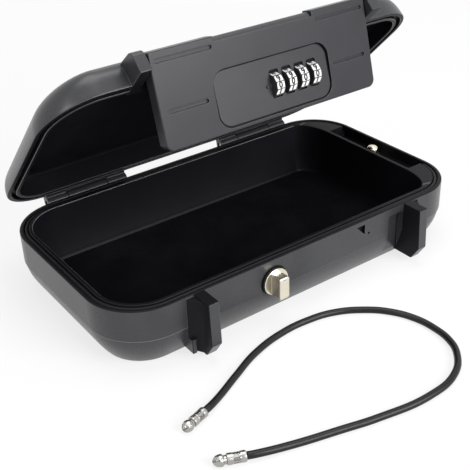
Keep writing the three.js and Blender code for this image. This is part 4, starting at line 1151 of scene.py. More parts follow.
@dataclass
class LidTray:
    """The lid with its cheeks, hinge arms and the bracket that carries the flap.

    Args:
        safe: Shared sizes.
        shop: Where pieces are dressed.
        skin_wall: Thickness of the lid's skin.
        end_shoulder: Radius of the shoulders at the ends.
        front_shoulder: Radius of the shoulders at the front and back.
        roof_steps: Heights of the outlines under the roof.
        groove_depth: Depth of the groove over the seal.
        cheek_outer: Outer face of the cheeks.
        bracket_half: Half the width of the flap's bracket.
        barrel: Radius of the bracket's barrel.
        flap_pin_half: How far the bores for the flap's pin reach from the middle.
    """

    safe: Safe
    shop: Workshop
    skin_wall: float = 2.4 * MM
    end_shoulder: float = 16.4 * MM
    front_shoulder: float = 9.4 * MM
    roof_steps: tuple[float, ...] = (51.6 * MM, 50.5 * MM, 49 * MM, 47 * MM, 44.5 * MM)
    groove_depth: float = 3 * MM
    cheek_outer: float = 76.35 * MM
    bracket_half: float = 31 * MM
    barrel: float = 3.2 * MM
    flap_pin_half: float = 74.5 * MM

    def shoulder(self, z: float, radius: float) -> float:
        """How far a rounded shoulder is in at a height."""
        rise = z - (self.safe.lid_top - radius)
        return 0 if rise <= 0 else radius - math.sqrt(max(0, radius * radius - rise * rise))

    def skin(self) -> bmesh.types.BMesh:
        """Loft the lid, from its roof inside out over the rim and up to its top.

        Returns:
            The closed lid.
        """
        safe, plan = self.safe, self.safe.plan
        roof = safe.lid_top - self.skin_wall
        rim, edge = safe.lid_rim, safe.rim_edge
        deep = rim + self.groove_depth
        inner = safe.rim_wall + safe.groove
        rings = []
        for z in (roof, *self.roof_steps):
            ends, sides = (
                max(safe.lip_inner, self.skin_wall + self.shoulder(z + self.skin_wall, radius))
                for radius in (self.end_shoulder, self.front_shoulder)
            )
            rings.append(plan.ring(z, ends, across=sides))
        rings += [plan.ring(z, inset) for z, inset in (
            (rim + edge, safe.lip_inner), (rim, safe.lip_inner - edge), (rim, inner + edge),
            (rim + edge, inner), (deep, inner), (deep, safe.rim_wall),
            (rim + edge, safe.rim_wall), (rim, safe.rim_wall - edge), (rim, 0.8 * MM),
            (rim + 0.25 * MM, 0.2 * MM), (rim + 0.8 * MM, 0))]
        for _, sin in arc(90, 12)[1:]:
            z = safe.lid_top - self.end_shoulder * (1 - sin)
            if z > rim + 1.2 * MM:
                rings.append(plan.ring(z, self.shoulder(z, self.end_shoulder),
                                       across=self.shoulder(z, self.front_shoulder)))
        return loft(rings)

    def cheek(self, side: int) -> bmesh.types.BMesh:
        """Make the plate beside the flap, with its rounded nose.

        Args:
            side: -1 for the left, 1 for the right.

        Returns:
            The plate.
        """
        safe = self.safe
        root = safe.front + self.front_shoulder
        nose, top = -79.4 * MM, 51.2 * MM
        profile = [
            (root, safe.lid_rim), (nose, safe.lid_rim), (nose, 46.8 * MM),
            (-78.9 * MM, 48.3 * MM), (-77.7 * MM, 49.6 * MM), (-76 * MM, 50.3 * MM),
            (safe.front, top), (root, top),
        ]
        x0, x1 = safe.cheek_inner, self.cheek_outer
        return prism_x(profile, *((x0, x1) if side > 0 else (-x1, -x0)), 0.5 * MM, 3, 40)

    def arms(self) -> list[bmesh.types.BMesh]:
        """Make the rear arms with their barrels, and the aprons over the tray's barrels.

        Returns:
            Solids that belong to the lid.
        """
        safe = self.safe
        y, z = safe.hinge_y, safe.hinge_z
        root, low, high = safe.back - safe.rim_wall, safe.lid_rim + safe.fit, safe.lid_rim + 6 * MM
        profile = [
            (root, low), (safe.back + 0.4 * MM, low), (y - 1 * MM, z),
            (y + 3.4 * MM, z + 1 * MM), (y - 1 * MM, high), (root, high),
        ]
        made = []
        # An arm at either end of each of the tray's barrels
        for x0, x1 in ((-90, -76.7), (-49.7, -36.4), (36.4, 49.7), (76.7, 90)):
            made.append(prism_x(profile, x0 * MM, x1 * MM, 0.4 * MM))
            made.append(rod_x(safe.knuckle, x0 * MM, x1 * MM, y, z))
        apron = []
        for radius, degrees, start in ((5.1 * MM, 88, 60), (3.95 * MM, -88, 148)):
            apron += [(y + radius * cos, z + radius * sin) for cos, sin in arc(degrees, 11, start)]
        made += [prism_x(apron, x0 * MM, x1 * MM, 0) for x0, x1 in ((-76.9, -49.5), (49.5, 76.9))]
        return made

    def front(self) -> tuple[bmesh.types.BMesh, bmesh.types.BMesh]:
        """Make the sloped web between the cheeks and the room for the flap's swing.

        Returns:
            The web to join and the room to take away after it.
        """
        safe = self.safe
        reach = safe.cheek_inner
        low = safe.lid_rim + 0.1 * MM
        web = prism_x([
            (-66.5 * MM, 49.2 * MM), (-60.3 * MM, low), (-56.9 * MM, low),
            (-60.1 * MM, 51.6 * MM), (-64.5 * MM, 50.2 * MM),
        ], -reach, reach, 0)
        room = prism_x([
            (-67.5 * MM, 49.2 * MM), (-73.5 * MM, 49.2 * MM), (-73.5 * MM, 36 * MM),
            (-58.8 * MM, 36 * MM),
        ], -reach, reach, 0)
        return web, room

    def bracket(self) -> list[bmesh.types.BMesh]:
        """Make the middle bracket with its barrel on the flap's pin.

        Returns:
            Solids that belong to the lid.
        """
        safe, half = self.safe, self.bracket_half
        y, z = safe.flap_axis_y, safe.flap_axis_z
        arm = block((-half, half), (y, safe.front + 3 * MM), (z - 1 * MM, z + 2.6 * MM), 0.3 * MM)
        return [arm, rod_x(self.barrel, -half, half, y, z)]

    def build(self) -> None:
        """Build the lid and dress it."""
        safe, shop = self.safe, self.shop
        lid = as_object(self.skin(), "lid_tray")
        web, room = self.front()
        combine(lid, [web], Cut.JOIN)
        combine(lid, [room], Cut.TAKE_AWAY)
        combine(lid, [self.cheek(-1), self.cheek(1), *self.bracket(), *self.arms()], Cut.JOIN)
        bores = [
            safe.hinge_bore(),
            rod_x(safe.flap_bore, -self.flap_pin_half, self.flap_pin_half, safe.flap_axis_y,
                  safe.flap_axis_z, 24, 0),
        ]
        combine(lid, bores, Cut.TAKE_AWAY)

        def in_lid(face: bpy.types.MeshPolygon) -> bool:
            """True where shade is painted: on the lid's inner walls and roof, in its groove and on
            its rim.

            Args:
                face: A face of the shut lid.

            Returns:
                Whether it gets the coat painted darker as shade.
            """
            middle, normal = face.center, face.normal
            rim = normal.z < -0.8 and middle.z < safe.lid_rim + 0.5 * MM
            return rim or (middle.z > safe.lid_rim + 0.2 * MM and normal.z < 0.05
                           and middle.z < safe.lid_top - self.skin_wall + 0.2 * MM
                           and safe.plan.inset_at(middle) > safe.rim_wall - 0.1 * MM)

        # Shade is painted inside the lid, in its groove and on its rim
        chosen = faces_where(lid, in_lid)
        shop.dress(lid, Slot.BLACK, "lid", ["lid_shell"], safe.lid_rest(), [shop.inside])
        paint(lid, SECOND, chosen)


@dataclass
class LockFlap:
    """The swinging flap with its grooves, panel, windows and numbered wheels.

    Args:
        safe: Shared sizes.
        shop: Where pieces are dressed.
        half: Half the flap's width.
        depth: Depth of its side walls.
        above: How far it reaches above its pin.
        below: How far it reaches below its pin.
        wall: Thickness of its face and walls.
        bar: How far below its pin the bar over its hollow ends.
        corner: Radius of its lower corners.
        grooves: Inner end, outer end and distance below the pin of each pair of grooves.
        groove_radius: Half the width of a groove.
        groove_depth: Depth of a groove.
        bracket_gap: Half the width of the gap for the lid's bracket.
        gap_radius: Radius of the gap round the bracket's barrel.
        recess_x: Left and right of the recess round the wheels.
        recess_s: Its top and its foot, as distances below the pin.
        recess_corner: Radius of its corners.
        recess_depth: Its depth at its foot and at its top.
        channel: Width of the narrow channel round it.
        channel_depth: The channel's depth at the foot and at the top.
        dial_count: Number of wheels.
        dial_faces: Flats on a wheel.
        first_dial: X of the first wheel.
        pitch: Distance from wheel to wheel.
        dial_width: Width of a wheel.
        dial_radius: Radius of a wheel over its ridges.
        dial_s: Distance of the wheels' axis below the pin.
        dial_depth: Depth of that axis behind the face.
        ridge: Half the width of the ridges between the flats.
        dial_sink: How deep the flats lie between their ridges.
        digit_size: Size of the digits.
        digit_weight: How much the digits are thickened.
        wheel_bore: Radius of the wheels' bores.
        window: Width of a wheel's window.
        window_radius: Radius of the cut that frees a wheel.
        window_z: Lower and upper edge of a window's step, from the axis.
        mark_gap: Distance of the pointers from the outer wheels' middles.
    """

    safe: Safe
    shop: Workshop
    half: float = 68.5 * MM
    depth: float = 7.3 * MM
    above: float = 3.8 * MM
    below: float = 45.1 * MM
    wall: float = 2 * MM
    bar: float = 4.4 * MM
    corner: float = 4.2 * MM
    grooves: tuple[tuple[float, float, float], ...] = (
        (32.9 * MM, 66.2 * MM, 1 * MM), (40.2 * MM, 63.9 * MM, 26 * MM))
    groove_radius: float = 1.1 * MM
    groove_depth: float = 1.3 * MM
    bracket_gap: float = 31.4 * MM
    gap_radius: float = 3.45 * MM
    recess_x: tuple[float, float] = (-36.3 * MM, 38.3 * MM)
    recess_s: tuple[float, float] = (12.9 * MM, 43.1 * MM)
    recess_corner: float = 8 * MM
    recess_depth: tuple[float, float] = (0.3 * MM, 1.7 * MM)
    channel: float = 0.95 * MM
    channel_depth: tuple[float, float] = (0.95 * MM, 1.88 * MM)
    dial_count: int = 4
    dial_faces: int = 10
    first_dial: float = 2 * MM
    pitch: float = 8.3 * MM
    dial_width: float = 5.4 * MM
    dial_radius: float = 6.3 * MM
    dial_s: float = 28.5 * MM
    dial_depth: float = 2.4 * MM
    ridge: float = 0.32 * MM
    dial_sink: float = 0.22 * MM
    digit_size: float = 4.5 * MM
    digit_weight: float = 0.2 * MM
    wheel_bore: float = 1.6 * MM
    window: float = 6.2 * MM
    window_radius: float = 6.8 * MM
    window_z: tuple[float, float] = (-6.4 * MM, 8 * MM)
    mark_gap: float = 5.2 * MM

    def at(self, x: float, depth: float, s: float) -> Vector:
        """Place a point by X, depth behind the face and distance below the pin."""
        return Vector((x, self.safe.face_y + depth, self.safe.flap_axis_z - s))

    def dial_x(self, index: int) -> float:
        """X of one wheel's middle, counted from the left."""
        return self.first_dial + index * self.pitch

    def groove(self, x0: float, x1: float, s: float) -> bmesh.types.BMesh:
        """Make the cutter of one long groove with round ends.

        Args:
            x0: Its left end.
            x1: Its right end.
            s: Its distance below the pin.

        Returns:
            The cutter.
        """
        r, z = self.groove_radius, self.safe.flap_axis_z - s
        outline = rounded_outline((x0, x1), (z - r, z + r), r * 0.98, r * 0.98,
                                  self.safe.face_y + self.groove_depth, 8)
        return prism(outline, Vector((0, -4 * MM, 0)), 0.25 * MM, 2, 60)

    def recess_outline(self, inset: float, y: float) -> list[Vector]:
        """Outline the recess, drawn in by an inset, at a place along Y.

        Args:
            inset: How far it is drawn in.
            y: Its place along Y.

        Returns:
            The outline's points.
        """
        left, right = self.recess_x
        top, low = (self.safe.flap_axis_z - s for s in self.recess_s)
        corner = self.recess_corner - inset
        return rounded_outline((left + inset, right - inset), (low + inset, top - inset),
                               corner, corner, y, 16)

    def depth_at(self, z: float, depths: tuple[float, float]) -> float:
        """Depth at a height, between the depth at the recess's foot and at its top.

        Args:
            z: The height.
            depths: Depth at the foot and at the top.

        Returns:
            The depth.
        """
        top, low = (self.safe.flap_axis_z - s for s in self.recess_s)
        return depths[0] + (depths[1] - depths[0]) / (top - low) * (z - low)

    def inside_recess(self, point: Vector) -> float:
        """How far a point lies in from the recess's outline.

        Args:
            point: Any point on the shut flap.

        Returns:
            The distance, less than 0 outside.
        """
        (left, right), (top, low), corner = self.recess_x, self.recess_s, self.recess_corner
        down = self.safe.flap_axis_z - point.z
        aside = abs(point.x - (left + right) / 2) - (right - left) / 2 + corner
        above = abs(down - (top + low) / 2) - (low - top) / 2 + corner
        return corner - math.hypot(max(aside, 0), max(above, 0)) - min(max(aside, above), 0)

    def panel(self) -> bmesh.types.BMesh:
        """Make the cutter of the recess round the wheels, deeper at its top.

        Returns:
            The cutter.
        """
        face = self.safe.face_y
        mesh = prism(self.recess_outline(0, face), Vector((0, 5 * MM, 0)), 0)
        for vert in mesh.verts:
            if vert.co.y > face + 1 * MM:
                vert.co.y = face + self.depth_at(vert.co.z, self.recess_depth)
            else:
                vert.co.y = face - 3 * MM
        rounded(mesh, 0.25 * MM, 2, 60)
        return mesh

    def panel_line(self) -> bmesh.types.BMesh:
        """Make the cutter of the narrow channel round the recess, deepest along its top.

        Returns:
            The cutter.
        """
        face, width = self.safe.face_y, self.channel
        rings = []
        for inset, deep in ((0, False), (0, True), (width, True), (width, False)):
            outline = self.recess_outline(inset, face - 1 * MM)
            if deep:
                for point in outline:
                    point.y = face + self.depth_at(point.z, self.channel_depth)
            rings.append(outline)
        return loft(rings, True)

    def shell(self) -> bpy.types.Object:
        """Build the flap's housing.

        Returns:
            The housing, still shut.
        """
        safe = self.safe
        low, top = safe.flap_axis_z - self.below, safe.flap_axis_z + self.above
        outline = rounded_outline((-self.half, self.half), (low, top), self.corner, 1 * MM,
                                  safe.face_y, 10)
        shell = as_object(prism(outline, Vector((0, self.depth, 0)), 0.7 * MM, 4, 50), "flap_cover")
        face, back = safe.face_y, safe.face_y + self.depth
        inner = self.half - self.wall
        room = block((-inner, inner), (face + self.wall, back + 2 * MM),
                     (low + self.wall, safe.flap_axis_z - self.bar), 0.8 * MM)
        half = self.bracket_gap
        axis_y, axis_z = safe.flap_axis_y, safe.flap_axis_z
        cuts = [
            room,
            rod_x(self.gap_radius, -half, half, axis_y, axis_z, 40, 0),
            block((-half, half), (face - 1 * MM, back + 1 * MM),
                  (axis_z + 0.8 * MM, axis_z + 8 * MM), 0.3 * MM),
            block((-half, half), (axis_y, back + 1 * MM), (axis_z - 5.4 * MM, axis_z + 2 * MM), 0),
            rod_x(safe.flap_bore, -self.half - 1 * MM, self.half + 1 * MM, axis_y, axis_z, 24, 0),
            self.panel(),
        ]
        for inside, outside, s in self.grooves:
            cuts += [self.groove(inside, outside, s), self.groove(-outside, -inside, s)]
        combine(shell, cuts, Cut.TAKE_AWAY)
        combine(shell, [self.panel_line()], Cut.TAKE_AWAY)
        combine(shell, self.windows() + self.post_slots(), Cut.TAKE_AWAY)
        return shell

    def windows(self) -> list[bmesh.types.BMesh]:
        """Make the cutters of the wheels' windows, with a shallow step round each.

        Returns:
            The cutters.
        """
        made = []
        half = self.window / 2
        for index in range(self.dial_count):
            x = self.dial_x(index)
            centre = self.at(x, self.dial_depth, self.dial_s)
            made.append(rod_x(self.window_radius, x - half, x + half, centre.y, centre.z, 48, 0))
            edges = [centre.z + rise for rise in self.window_z]
            step = rounded_outline((x - half, x + half), edges, 0.5 * MM, 1.1 * MM,
                                   self.safe.face_y - 1 * MM, 6)
            made.append(prism(step, Vector((0, 2.9 * MM, 0)), 0.1 * MM, 2, 60))
        return made

    def post_slots(self) -> list[bmesh.types.BMesh]:
        """Make the cutters that let the flap go down over the post's disc and blade.

        Returns:
            The cutters.
        """
        x, face = self.safe.post_x, self.safe.face_y
        low, top = self.safe.flap_axis_z - self.below - 1 * MM, 33 * MM
        disc, blade = (8.7 * MM, 5.6 * MM), (4.2 * MM, self.wall)
        return [block((x - half, x + half), (face + start, face + 11 * MM), (low, top), 0.2 * MM)
                for half, start in (disc, blade)]

    def wheel(self, index: int) -> None:
        """Build one wheel, with white flats between grey ridges, and its digits.

        Args:
            index: Place of the wheel from the left.
        """
        x = self.dial_x(index)
        centre = self.at(x, self.dial_depth, self.dial_s)
        body = f"wheel_{index + 1}"
        mesh = bmesh.new()
        offset = math.pi / self.dial_faces
        apothem = self.dial_radius * math.cos(offset)
        bmesh.ops.create_cone(mesh, cap_ends=True, segments=self.dial_faces,
                              radius1=self.dial_radius, radius2=self.dial_radius,
                              depth=self.dial_width)
        flats = [f for f in mesh.faces if abs(f.normal.z) < 0.5]
        bmesh.ops.inset_individual(mesh, faces=flats, thickness=self.ridge, depth=0)
        bmesh.ops.inset_individual(mesh, faces=flats, thickness=0.05 * MM, depth=-self.dial_sink)
        for face in mesh.faces:
            face.material_index = FIRST if face in flats else SECOND
        first = min(flats, key=lambda f: abs(math.atan2(f.normal.y, f.normal.x)))
        spare = math.atan2(first.normal.y, first.normal.x)
        bmesh.ops.rotate(mesh, cent=(0, 0, 0), matrix=Matrix.Rotation(-spare, 3, "Z"),
                         verts=mesh.verts)
        upright = Matrix(((0, 0, 1), (-1, 0, 0), (0, -1, 0)))
        bmesh.ops.transform(mesh, matrix=Matrix.Translation(centre) @ upright.to_4x4(),
                            verts=mesh.verts)
        rim = [e for e in mesh.edges if len(e.link_faces) == 2
               and any(abs(f.normal.x) > 0.9 for f in e.link_faces)
               and e.calc_face_angle(0) > 1]
        bmesh.ops.bevel(mesh, geom=rim, offset=0.2 * MM, offset_type="OFFSET", affect="EDGES",
                        segments=2, profile=0.5, material=-1)
        wheel = as_object(mesh, body)
        bore = rod_x(self.wheel_bore, x - self.pitch, x + self.pitch, centre.y, centre.z, 24, 0)
        combine(wheel, [bore], Cut.TAKE_AWAY)
        sides = faces_where(wheel, lambda face: face.material_index == SECOND)
        self.shop.dress(wheel, Slot.WHEEL, body, [f"dial_{index + 1}", f"dial_hub_{index + 1}"],
                        self.safe.flap_rest(), [self.shop.side], 20)
        paint(wheel, SECOND, sides)
        self.digits(body, centre, apothem - self.dial_sink, 2 * offset)

    def digits(self, body: str, centre: Vector, reach: float, step: float) -> None:
        """Print the ten digits of one wheel as thin raised shapes.

        Args:
            body: The wheel's body.
            centre: Middle of the wheel, shut.
            reach: Distance of the flats from the wheel's axis.
            step: Angle between two flats.
        """
        printed = bmesh.new()
        stand = Matrix.Rotation(math.pi / 2, 4, "X")
        for digit in range(self.dial_faces):
            curve = bpy.data.curves.new("digit", "FONT")
            curve.body = str(digit)
            curve.size = self.digit_size
            curve.extrude = 0.04 * MM
            curve.offset = self.digit_weight
            curve.align_x = "CENTER"
            curve.align_y = "CENTER"
            text = bpy.data.objects.new("digit", curve)
            bpy.context.scene.collection.objects.link(text)
            graph = bpy.context.evaluated_depsgraph_get()
            flat = bpy.data.meshes.new_from_object(text.evaluated_get(graph))
            shift = Matrix.Translation((0, -reach - 0.02 * MM, 0)) @ stand
            turn = Matrix.Rotation(digit * step, 4, "X")
            flat.transform(Matrix.Translation(centre) @ turn @ shift)
            printed.from_mesh(flat)
            bpy.data.objects.remove(text, do_unlink=True)
            bpy.data.meshes.remove(flat)
        bmesh.ops.remove_doubles(printed, verts=printed.verts, dist=0.001 * MM)
        bmesh.ops.recalc_face_normals(printed, faces=printed.faces)
        ink = as_object(printed, f"{body}_digits")
        self.shop.dress(ink, Slot.WHEEL, body, rest=self.safe.flap_rest())
        ink.data.materials[0] = self.shop.ink

    def marks(self) -> None:
        """Raise the two small pointers beside the row of wheels."""
        made = []
        last = self.dial_x(self.dial_count - 1)
        for x, side in ((self.first_dial - self.mark_gap, 1), (last + self.mark_gap, -1)):
            corners = [self.at(x + side * ahead * MM, 0.2 * MM, self.dial_s + down * MM)
                       for ahead, down in ((1, 0), (-0.8, -0.9), (-0.8, 0.9))]
            made.append(prism(corners, Vector((0, 0.7 * MM, 0)), 0.08 * MM, 2))
        marks = as_object(joined_meshes(made), "pointer_marks")
        self.shop.dress(marks, Slot.FLAP, "flap", rest=self.safe.flap_rest())

    def build(self) -> None:
        """Build the flap, its wheels and its marks."""
        shell = self.shell()
        last = self.dial_x(self.dial_count - 1)
        reach, axis_z = self.window / 2 + 0.1 * MM, self.safe.flap_axis_z - self.dial_s
        foot, head = self.window_z

        def in_window(face: bpy.types.MeshPolygon) -> bool:
            """True where shade is painted: on the walls of the wheels' windows and in the channel
            round the recess.

            Args:
                face: A face of the shut flap.

            Returns:
                Whether it gets the coat painted darker as shade.
            """
            middle, normal = face.center, face.normal
            across = self.first_dial - reach < middle.x < last + reach
            high = foot - 0.6 * MM < middle.z - axis_z < head + 0.6 * MM
            deep = middle.y - self.safe.face_y
            window = across and high and (abs(normal.y) < 0.5 or deep > 1.6 * MM)
            ring = -0.2 * MM < self.inside_recess(middle) < 1.1 * MM
            below = deep > self.depth_at(middle.z, self.recess_depth) + 0.05 * MM
            wall = abs(normal.y) < 0.6 and deep > 0.25 * MM
            return window or ring and (wall or below) and deep < 3 * MM

        # Shade is painted into the wheels' windows and the channel round the recess
        chosen = faces_where(shell, in_window)
        self.shop.dress(shell, Slot.FLAP, "flap", ["flap_housing"], self.safe.flap_rest(),
                        [self.shop.inside])
        paint(shell, SECOND, chosen)
        for index in range(self.dial_count):
            self.wheel(index)
        self.marks()


@dataclass
class Lining:
    """The foam mats on the floor of the tray and under the lid's roof.

    Args:
        shop: Where pieces are dressed.
        edge: Rounding of the mats' edges.
    """

    shop: Workshop
    edge: float = 0.5 * MM

    def mat(self, node: bpy.types.Object, name: str, body: str) -> None:
        """Give one mat its node's form, with rounded edges.

        Args:
            node: The frame's node that it stands for.
            name: The mat's name.
            body: The body that it rides on.
        """
        mesh = bmesh.new()
        mesh.from_mesh(node.data)
        bmesh.ops.remove_doubles(mesh, verts=mesh.verts, dist=0.01 * MM)
        bmesh.ops.dissolve_limit(mesh, angle_limit=math.radians(1), verts=mesh.verts,
                                 edges=mesh.edges)
        rounded(mesh, self.edge, 3, 60)
        mat = as_object(mesh, name)
        self.shop.dress(mat, Slot.FOAM, body, [node.name], smooth=60)

    def build(self, nodes: dict[str, bpy.types.Object]) -> None:
        """Lay both mats."""
        self.mat(nodes["base_liner"], "floor_mat", "base")
        self.mat(nodes["lid_liner"], "roof_mat", "lid")


@dataclass
class TieCable:
    """The cable that lies in front of the safe, with its sleeves and ball ends.

    Args:
        shop: Where pieces are dressed.
        radius: Radius of the cable.
        lift: How far its skin keeps off the floor.
        rest_height: Height of the end fittings' middle.
        lead: Straight length before a fitting.
        gap: Play between the cable and a fitting.
        sleeve: Length of a sleeve.
        sleeve_radius: Radius of a sleeve.
        head: Length of a ball end.
        end_a: Where the first fitting starts, seen from above.
        toward_a: Way that it points.
        end_b: Where the second fitting starts.
        toward_b: Way that it points.
        route: Points of the cable between its fittings, in millimetres.
    """

    shop: Workshop
    radius: float = 1.9 * MM
    lift: float = 0.05 * MM
    rest_height: float = 3 * MM
    lead: float = 4 * MM
    gap: float = 0.3 * MM
    sleeve: float = 9 * MM
    sleeve_radius: float = 2.7 * MM
    head: float = 6 * MM
    end_a: tuple[float, float] = (-99.5 * MM, -106.4 * MM)
    toward_a: tuple[float, float] = (-14.7, -4.4)
    end_b: tuple[float, float] = (-101 * MM, -141 * MM)
    toward_b: tuple[float, float] = (-14.6, 6.3)
    route: tuple[tuple[float, float], ...] = (
        (-86.7, -100.9), (-72.3, -94), (-53.8, -85.8), (-32.6, -81.2), (-15.3, -81.2),
        (0.5, -84.6), (14.9, -93), (24.4, -102.7), (30.6, -115.4), (32.2, -127.7),
        (30.6, -139.4), (25.2, -149.2), (11.8, -159.2), (-8.6, -162.5), (-38.8, -158.3),
        (-57.5, -153.5), (-79.5, -147.6),
    )

    def end_point(self, end: tuple[float, float], toward: tuple[float, float],
                  along: float) -> Vector:
        """Place a point on an end fitting's axis."""
        way = Vector((*toward, 0)).normalized()
        return Vector((*end, self.rest_height)) + way * along

    def points(self) -> list[Vector]:
        """List the cable's route in order.

        Returns:
            Points in metres.
        """
        middle = [Vector((x * MM, y * MM, self.radius)) for x, y in self.route]
        start = [self.end_point(self.end_a, self.toward_a, -back) for back in (self.gap, self.lead)]
        end = [self.end_point(self.end_b, self.toward_b, -back) for back in (self.lead, self.gap)]
        return [*start, *middle, *end]

    def build(self) -> None:
        curve = bpy.data.curves.new("tie_cable", "CURVE")
        curve.dimensions = "3D"
        curve.bevel_depth = self.radius - self.lift
        curve.bevel_resolution = 8
        curve.resolution_u = 10
        curve.use_fill_caps = True
        spline = curve.splines.new("BEZIER")
        points = self.points()
        spline.bezier_points.add(len(points) - 1)
        for knot, point in zip(spline.bezier_points, points, strict=True):
            knot.co = point
            knot.handle_left_type = "AUTO"
            knot.handle_right_type = "AUTO"
        cable = bpy.data.objects.new("tie_cable", curve)
        bpy.context.scene.collection.objects.link(cable)
        curve.materials.append(self.shop.materials[Slot.CABLE])
        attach(cable, "base")
        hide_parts("cable_sheath")
        fittings = [*self.fitting("a", self.end_a, self.toward_a),
                    *self.fitting("b", self.end_b, self.toward_b)]

    def fitting(self, letter: str, end: tuple[float, float],
                toward: tuple[float, float]) -> list[bpy.types.Object]:
        """Turn the crimped sleeve and the ball end of one end.

        Args:
            letter: Which end.
            end: Where the cable meets the sleeve.
            toward: Way that the fitting points.

        Returns:
            The sleeve and the ball end.
        """
        r = self.sleeve_radius
        profile = [(0, 0), (r - 0.5 * MM, 0), (r - 0.1 * MM, 0.3 * MM), (r, 0.8 * MM),
                   (r, 2.2 * MM), (r - 0.16 * MM, 2.6 * MM), (r - 0.16 * MM, 6.4 * MM),
                   (r, 6.8 * MM), (r, self.sleeve - 0.3 * MM), (r - 0.3 * MM, self.sleeve),
                   (0, self.sleeve)]
        base = self.end_point(end, toward, 0)
        way = Vector((*toward, 0)).normalized()
        sleeve = as_object(turned(profile, base, way), f"crimp_sleeve_{letter}")
        up = Vector((0, 0, 1))
        frame = Matrix((way.cross(up), up, way)).transposed().to_4x4()
        frame = Matrix.Translation(base) @ frame
        dent = ((r - 0.42 * MM, r + 1 * MM), (-0.9 * MM, 0.9 * MM), (2.9 * MM, 6.1 * MM))
        combine(sleeve, blocks_around(frame, range(30, 360, 60), dent, 0.15 * MM), Cut.TAKE_AWAY)
        self.shop.dress(sleeve, Slot.STEEL, "base", [f"cable_sleeve_{letter}"])
        start = self.sleeve + self.gap
        tip = start + self.head
        bulb = [(0, self.sleeve), (2 * MM, self.sleeve), (2.1 * MM, start + 0.3 * MM),
                (2.1 * MM, start + 0.9 * MM), (2.7 * MM, start + 1.5 * MM),
                (2.85 * MM, start + 2.2 * MM), (2.75 * MM, start + 3 * MM),
                (2.4 * MM, tip - 1.7 * MM), (1.7 * MM, tip - 0.8 * MM), (0.8 * MM, tip - 0.2 * MM),
                (0, tip)]
        head = as_object(turned(bulb, base, way), f"ball_end_{letter}")
        slot = ((-4 * MM, 4 * MM), (-0.45 * MM, 0.45 * MM), (start + 2.5 * MM, tip + 2 * MM))
        combine(head, blocks_around(frame, (45, 135), slot, 0), Cut.TAKE_AWAY)
        self.shop.dress(head, Slot.STEEL, "base", [f"cable_head_{letter}"])
        return [sleeve, head]


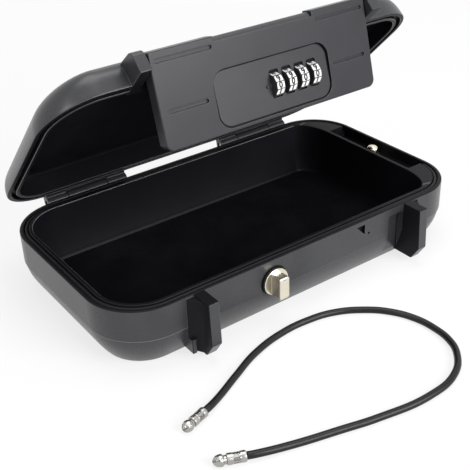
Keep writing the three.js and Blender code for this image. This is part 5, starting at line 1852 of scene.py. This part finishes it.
@dataclass
class Studio:
    """Camera, lamps, floor and the white surroundings.

    Args:
        azimuth: Camera's turn round the object in degrees.
        elevation: Camera's height above the horizon in degrees.
        roll: Camera's lean in degrees.
        distance: Camera to target.
        target: Point that the camera looks at.
        lens: Focal length in millimetres.
        sensor: Width of the sensor in millimetres.
        shift: Lens shift across and up, as small as the framing needs.
        lamps: Name, place, side and watts of each lamp.
        aim: Point that the lamps face.
        world_light: Strength of the light from all round.
    """

    azimuth: float = -34.934
    elevation: float = 29.821
    roll: float = -2.209
    distance: float = 572.476 * MM
    target: tuple[float, float, float] = (18.905 * MM, 36.511 * MM, 0)
    lens: float = 67.45
    sensor: float = 36
    shift: tuple[float, float] = (0.0113, -0.0351)
    lamps: tuple[tuple[str, tuple[float, float, float], float, float], ...] = (
        ("key_left", (-0.95, -0.25, 0.75), 0.35, 2),
        ("front_soft", (0.3, -1.1, 0.6), 0.8, 15),
        ("top_soft", (0.1, 0.1, 1.3), 0.9, 8),
    )
    aim: tuple[float, float, float] = (0, 0, 0.05)
    world_light: float = 0.3

    def camera(self) -> None:
        """Place the camera at the photograph's viewpoint."""
        turn, rise, lean = (math.radians(v) for v in (self.azimuth, self.elevation, self.roll))
        back = Vector((math.sin(turn) * math.cos(rise), -math.cos(turn) * math.cos(rise),
                       math.sin(rise)))
        level = Vector((math.cos(turn), math.sin(turn), 0))
        over = back.cross(level)
        right = level * math.cos(lean) + over * math.sin(lean)
        up = over * math.cos(lean) - level * math.sin(lean)
        data = bpy.data.cameras.new("camera")
        data.lens = self.lens
        data.sensor_width = self.sensor
        data.shift_x, data.shift_y = self.shift
        camera = bpy.data.objects.new("camera", data)
        place = Vector(self.target) + back * self.distance
        camera.matrix_world = Matrix((
            (right.x, up.x, back.x, place.x), (right.y, up.y, back.y, place.y),
            (right.z, up.z, back.z, place.z), (0, 0, 0, 1),
        ))
        bpy.context.scene.collection.objects.link(camera)
        bpy.context.scene.camera = camera

    def lamp(self, name: str, place: tuple[float, float, float], size: float,
             power: float) -> None:
        """Hang a square soft lamp that faces the safe.

        Args:
            name: The lamp's name.
            place: Where it hangs.
            size: Its side.
            power: Its watts.
        """
        data = bpy.data.lights.new(name, "AREA")
        data.size = size
        data.energy = power
        lamp = bpy.data.objects.new(name, data)
        lamp.location = place
        aim = Vector(self.aim) - Vector(place)
        lamp.rotation_mode = "QUATERNION"
        lamp.rotation_quaternion = aim.to_track_quat("-Z", "Y")
        bpy.context.scene.collection.objects.link(lamp)

    def floor(self) -> None:
        """Lay the pale floor, which keeps the safe's shadow."""
        mesh = bmesh.new()
        bmesh.ops.create_grid(mesh, x_segments=2, y_segments=2, size=3)
        floor = as_object(mesh, "floor")
        nodes = Nodes("pale_floor")
        tone = nodes.noise(6, 2)
        spread = nodes.span(tone, 0, 0, 1, 0, 1)
        colour = nodes.blend(spread, (0.93, 0.93, 0.93), (0.95, 0.95, 0.95))
        nodes.link(colour, MIXED, nodes.shader, "Base Color")
        nodes.shader.inputs["Roughness"].default_value = 0.9
        nodes.shader.inputs["Specular IOR Level"].default_value = 0.1
        # Seen directly it turns white with the distance from the safe
        far = nodes.add("ShaderNodeVectorMath", operation="LENGTH")
        nodes.link(nodes.place, "Object", far, 0)
        share = nodes.span(far, "Value", 0.25, 0.9, 0.75, 1)
        factor = nodes.add("ShaderNodeMath", operation="MULTIPLY")
        nodes.link(share, 0, factor, 0)
        nodes.link(seen_directly(nodes.tree), 0, factor, 1)
        white = nodes.add("ShaderNodeEmission")
        mix = nodes.add("ShaderNodeMixShader")
        nodes.link(factor, 0, mix, 0)
        nodes.link(nodes.shader, 0, mix, 1)
        nodes.link(white, 0, mix, 2)
        nodes.link(mix, 0, nodes.output, "Surface")
        floor.data.materials.append(nodes.material)

    def world(self) -> None:
        """Light the scene softly all round, and show white behind it."""
        world = bpy.data.worlds.new("white_room")
        bpy.context.scene.world = world
        world.use_nodes = True
        tree = world.node_tree
        tree.nodes.clear()
        output = tree.nodes.new("ShaderNodeOutputWorld")
        soft = tree.nodes.new("ShaderNodeBackground")
        soft.inputs["Strength"].default_value = self.world_light
        seen = tree.nodes.new("ShaderNodeBackground")
        seen.inputs["Strength"].default_value = 1
        for node in (soft, seen):
            node.inputs["Color"].default_value = (1, 1, 1, 1)
        mix = tree.nodes.new("ShaderNodeMixShader")
        tree.links.new(seen_directly(tree).outputs[0], mix.inputs[0])
        tree.links.new(soft.outputs[0], mix.inputs[1])
        tree.links.new(seen.outputs[0], mix.inputs[2])
        tree.links.new(mix.outputs[0], output.inputs["Surface"])

    def build(self) -> None:
        """Set up the whole studio."""
        bpy.context.scene.view_settings.view_transform = "Standard"
        self.camera()
        self.floor()
        self.world()
        for lamp in self.lamps:
            self.lamp(*lamp)


def main() -> None:
    """Build the safe piece by piece."""
    logging.basicConfig(level=logging.INFO, format="%(message)s")
    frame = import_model()
    safe = Safe()
    shop = Workshop()
    shop.prepare()
    Studio().build()
    TieCable(shop).build()
    BaseTray(safe, shop).build()
    LidTray(safe, shop).build()
    LockFlap(safe, shop).build()
    nodes = frame["nodes"]
    Lining(shop).build(nodes)
    shop.carry_over(nodes, ["post_washer"], Slot.SEAL)
    shop.carry_over(nodes, ["flap_back_cover"], Slot.BLACK)
    steel = ["post_nut", "hinge_pin_left", "hinge_pin_right", "flap_hinge_pin", "dial_shaft",
             "detent_plate", "bolt_spring", *(f"cover_screw_{i + 1}" for i in range(4))]
    shop.carry_over(nodes, steel, Slot.STEEL)
    shop.carry_over(nodes, ["latch_bolt"], Slot.BRASS)


if __name__ == "__main__":
    main()
